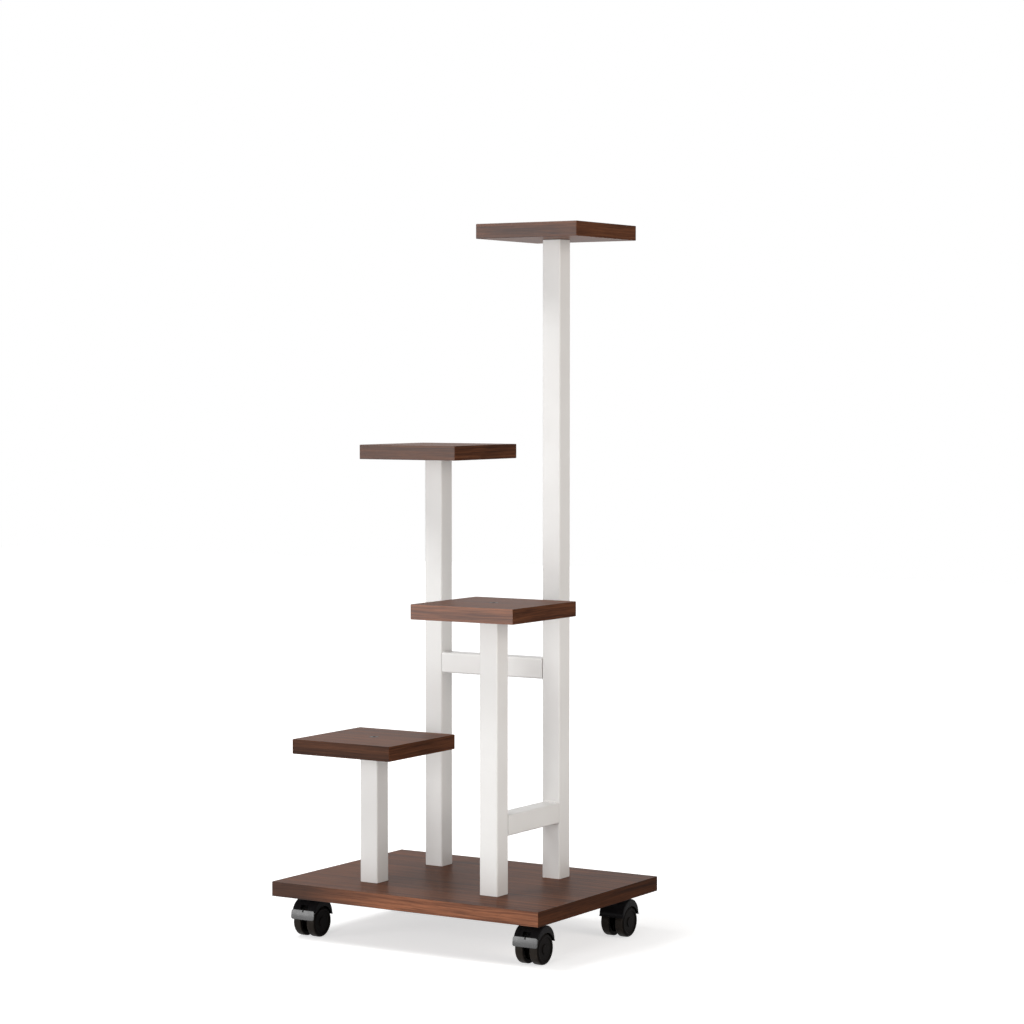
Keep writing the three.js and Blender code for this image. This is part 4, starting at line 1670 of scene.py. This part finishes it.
    def visor(self) -> BMesh:
        """Makes the pedal's face, a thin curved sheet that leans back and has a nick in its lip.

        Returns:
            The visor's mesh.
        """
        half_width, corner = self.hood_half_width, self.visor_corner
        height = self.visor_top - self.visor_bottom
        bm = bmesh.new()
        bmesh.ops.create_grid(bm, x_segments=48, y_segments=28, size=0.5)
        for side in (-self.nick_half_width, self.nick_half_width):
            slice_at(bm, side / (2 * half_width), Axis.X)
        for vert in bm.verts:
            share = vert.co.y + 0.5
            end = min(share, 1 - share) * height
            drop = corner - math.sqrt(corner**2 - max(0.0, corner - end) ** 2)
            back = self.visor_lean * (0.75 * share + 0.25 * share**4)
            across = vert.co.x * 2 * (half_width - drop)
            vert.co = Vector((across, self.visor_front + back, self.visor_bottom + share * height))
        nick_foot = self.visor_top - self.nick_depth
        cut_away(bm, lambda point: abs(point.x) < self.nick_half_width and point.z > nick_foot)
        turn_towards(bm, -Axis.Y.vector)
        bmesh.ops.solidify(bm, geom=list(bm.faces), thickness=self.visor_wall)
        bm.normal_update()
        square = math.radians(60)
        rims = [e for e in bm.edges if len(e.link_faces) == 2 and e.calc_face_angle(0.0) > square]
        round_edges(bm, rims, 0.4 * MM, 3)
        return bm

    def shoe(self) -> BMesh:
        """Makes the shoe over both treads, a thick arc about the axle.

        Returns:
            The shoe's mesh.
        """
        inner, outer = self.shoe_inner, self.shoe_outer
        start, end = self.shoe_reach
        axle = at(0.0, 0.0, self.wheel_radius) @ Matrix.Rotation(-start, 4, "X")
        section = Matrix.Diagonal((2 * self.shoe_half_width, outer - inner, 1.0, 1.0))
        place = axle @ at(0.0, -(inner + outer) / 2, 0.0) @ section
        bm = bmesh.new()
        bmesh.ops.create_grid(bm, x_segments=1, y_segments=1, size=0.5, matrix=place)
        bmesh.ops.spin(
            bm,
            geom=[*bm.verts, *bm.edges, *bm.faces],
            cent=axle.translation,
            axis=Axis.X.value,
            angle=start - end,
            steps=10,
            use_duplicate=False,
        )
        bmesh.ops.holes_fill(bm, edges=bm.edges)
        return bm

    def eye(self) -> BMesh:
        """Makes the eye that the pedal's pin goes through.

        Returns:
            The eye's mesh.
        """
        outer, bore, half = self.eye_radius, self.pedal_pin_radius + self.play, 2.0 * MM
        profile = [(bore, -half), (outer, -half), (outer, half), (bore, half), (bore, -half)]
        return turned(profile, self.crosswise(*self.pivot), 32)

    def pedal_pin(self) -> None:
        """Builds the steel pin of the pedal."""
        radius, half = self.pedal_pin_radius, self.rib_half_width
        profile = [(0.0, -half), (radius, -half), (radius, half), (0.0, half)]
        bm = turned(profile, self.place @ self.crosswise(*self.pivot), 24)
        name = self.node("pedal_pin")
        finish_piece(bm, f"{name}_steel", self.fork_body, (ZINC,), (name,))


# ---------------------------------------------------------------------------
# Studio
# ---------------------------------------------------------------------------


@dataclass
class SoftBox:
    """A rectangular soft lamp aimed at a point of the trolley."""

    name: str
    stand: tuple[float, float, float]
    aim: tuple[float, float, float]
    size: tuple[float, float]
    power: float
    colour: tuple[float, float, float] = (1.0, 1.0, 1.0)

    def build(self) -> None:
        """Puts up the lamp."""
        lamp = bpy.data.lights.new(self.name, "AREA")
        lamp.shape = "RECTANGLE"
        lamp.size, lamp.size_y = self.size
        lamp.energy = self.power
        lamp.color = self.colour
        stand = bpy.data.objects.new(self.name, lamp)
        stand.location = self.stand
        look = Vector(self.aim) - Vector(self.stand)
        stand.rotation_euler = look.to_track_quat("-Z", "Y").to_euler()
        bpy.context.scene.collection.objects.link(stand)


@dataclass
class Studio:
    """A white sweep, soft lamps and the camera."""

    picture_side: int = 1024
    sensor: float = 36.0
    focal_pixels: float = 2841.88
    stand: tuple[float, float, float] = (1.87652, -2.88954, 0.67601)
    yaw: float = 0.559529
    pitch: float = 0.045811
    ambient: float = 0.25
    floor_side: float = 12.0
    floor_level: float = -0.2 * MM
    floor_grey: float = 0.82
    glow_from: tuple[float, float] = (0.25, 0.6)
    glow_to: tuple[float, float] = (0.9, 1.0)
    lamps: list[SoftBox] = field(
        default_factory=lambda: [
            SoftBox("key", (-1.48, -2.3, 0.6), (0.0, 0.0, 0.3), (0.7, 1.1), 12.5),
            SoftBox("front", (0.3, -1.5, 0.35), (0.04, 0.0, 0.2), (0.6, 0.5), 7.0),
            SoftBox("fill", (2.6, -0.3, 1.0), (0.0, 0.0, 0.4), (1.2, 1.2), 24.0, (1.0, 0.93, 0.86)),
            SoftBox("top", (-1.2, -1.1, 3.1), (0.0, 0.0, 0.2), (1.4, 1.4), 57.0),
        ]
    )

    def build(self) -> None:
        """Sets up the view, the sweep and the lamps."""
        bpy.context.scene.view_settings.view_transform = "Standard"
        self.camera()
        self.world()
        self.floor()
        for lamp in self.lamps:
            lamp.build()

    def camera(self) -> None:
        """Puts up the camera where the photograph was taken."""
        data = bpy.data.cameras.new("camera")
        data.sensor_width = self.sensor
        data.lens = self.focal_pixels / self.picture_side * self.sensor
        camera = bpy.data.objects.new("camera", data)
        camera.location = self.stand
        camera.rotation_euler = (math.pi / 2 - self.pitch, 0.0, self.yaw)
        bpy.context.scene.collection.objects.link(camera)
        bpy.context.scene.camera = camera

    def world(self) -> None:
        """Makes the surroundings: weak even light, seen as white."""
        world = bpy.data.worlds.new("studio")
        bpy.context.scene.world = world
        world.use_nodes = True
        sheet = Sheet(world.node_tree)
        background = world.node_tree.nodes["Background"]
        background.inputs["Color"].default_value = (1.0, 1.0, 1.0, 1.0)
        seen = self.showing_ray(sheet)
        sheet.feed(background.inputs["Strength"], sheet.spread(seen, 0.0, 1.0, self.ambient, 1.0))

    def showing_ray(self, sheet: Sheet) -> bpy.types.NodeSocket:
        """Tells the rays that show the surroundings from those that light.

        Args:
            sheet: the sheet of the world or the floor.

        Returns:
            1 for a ray of the camera, a mirrored one and one through glass, and 0 for the rest.
        """
        path = sheet.node("ShaderNodeLightPath").outputs
        bent = sheet.math("MAXIMUM", path["Is Glossy Ray"], path["Is Transmission Ray"])
        return sheet.math("MAXIMUM", path["Is Camera Ray"], bent)

    def floor(self) -> None:
        """Lays the pale floor, which fades to white away from the trolley."""
        bm = bmesh.new()
        level = at(0.0, 0.0, self.floor_level)
        bmesh.ops.create_grid(bm, x_segments=1, y_segments=1, size=self.floor_side / 2, matrix=level)
        mesh = bpy.data.meshes.new("floor")
        bm.to_mesh(mesh)
        bm.free()
        floor = bpy.data.objects.new("floor", mesh)
        bpy.context.scene.collection.objects.link(floor)
        material, sheet, shader = blank_material("floor")
        shader.inputs["Base Color"].default_value = (*[self.floor_grey] * 3, 1.0)
        shader.inputs["Roughness"].default_value = 0.9
        shader.inputs["Specular IOR Level"].default_value = 0.0
        shader.inputs["Emission Color"].default_value = (1.0, 1.0, 1.0, 1.0)
        reach = sheet.node("ShaderNodeVectorMath", operation="LENGTH")
        sheet.feed(reach.inputs[0], sheet.node("ShaderNodeTexCoord").outputs["Object"])
        (near, dim), (far, bright) = self.glow_from, self.glow_to
        glow = sheet.spread(reach.outputs["Value"], near, far, dim, bright)
        seen = self.showing_ray(sheet)
        sheet.feed(shader.inputs["Emission Strength"], sheet.math("MULTIPLY", glow, seen))
        mesh.materials.append(material)


def main() -> None:
    """Builds the trolley's looks and the studio."""
    logging.basicConfig(level=logging.INFO, format="%(name)s %(message)s")
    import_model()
    Studio().build()
    Boards().build()
    SteelFrame().build()
    casters = [
        Caster(Corner.FRONT_LEFT, brake=True, turn=0.0),
        Caster(Corner.FRONT_RIGHT, brake=True, turn=0.0),
        Caster(Corner.BACK_LEFT, brake=False, turn=math.pi),
        Caster(Corner.BACK_RIGHT, brake=False, turn=math.pi),
    ]
    for caster in casters:
        caster.build()
    Fasteners().build(casters)


if __name__ == "__main__":
    main()
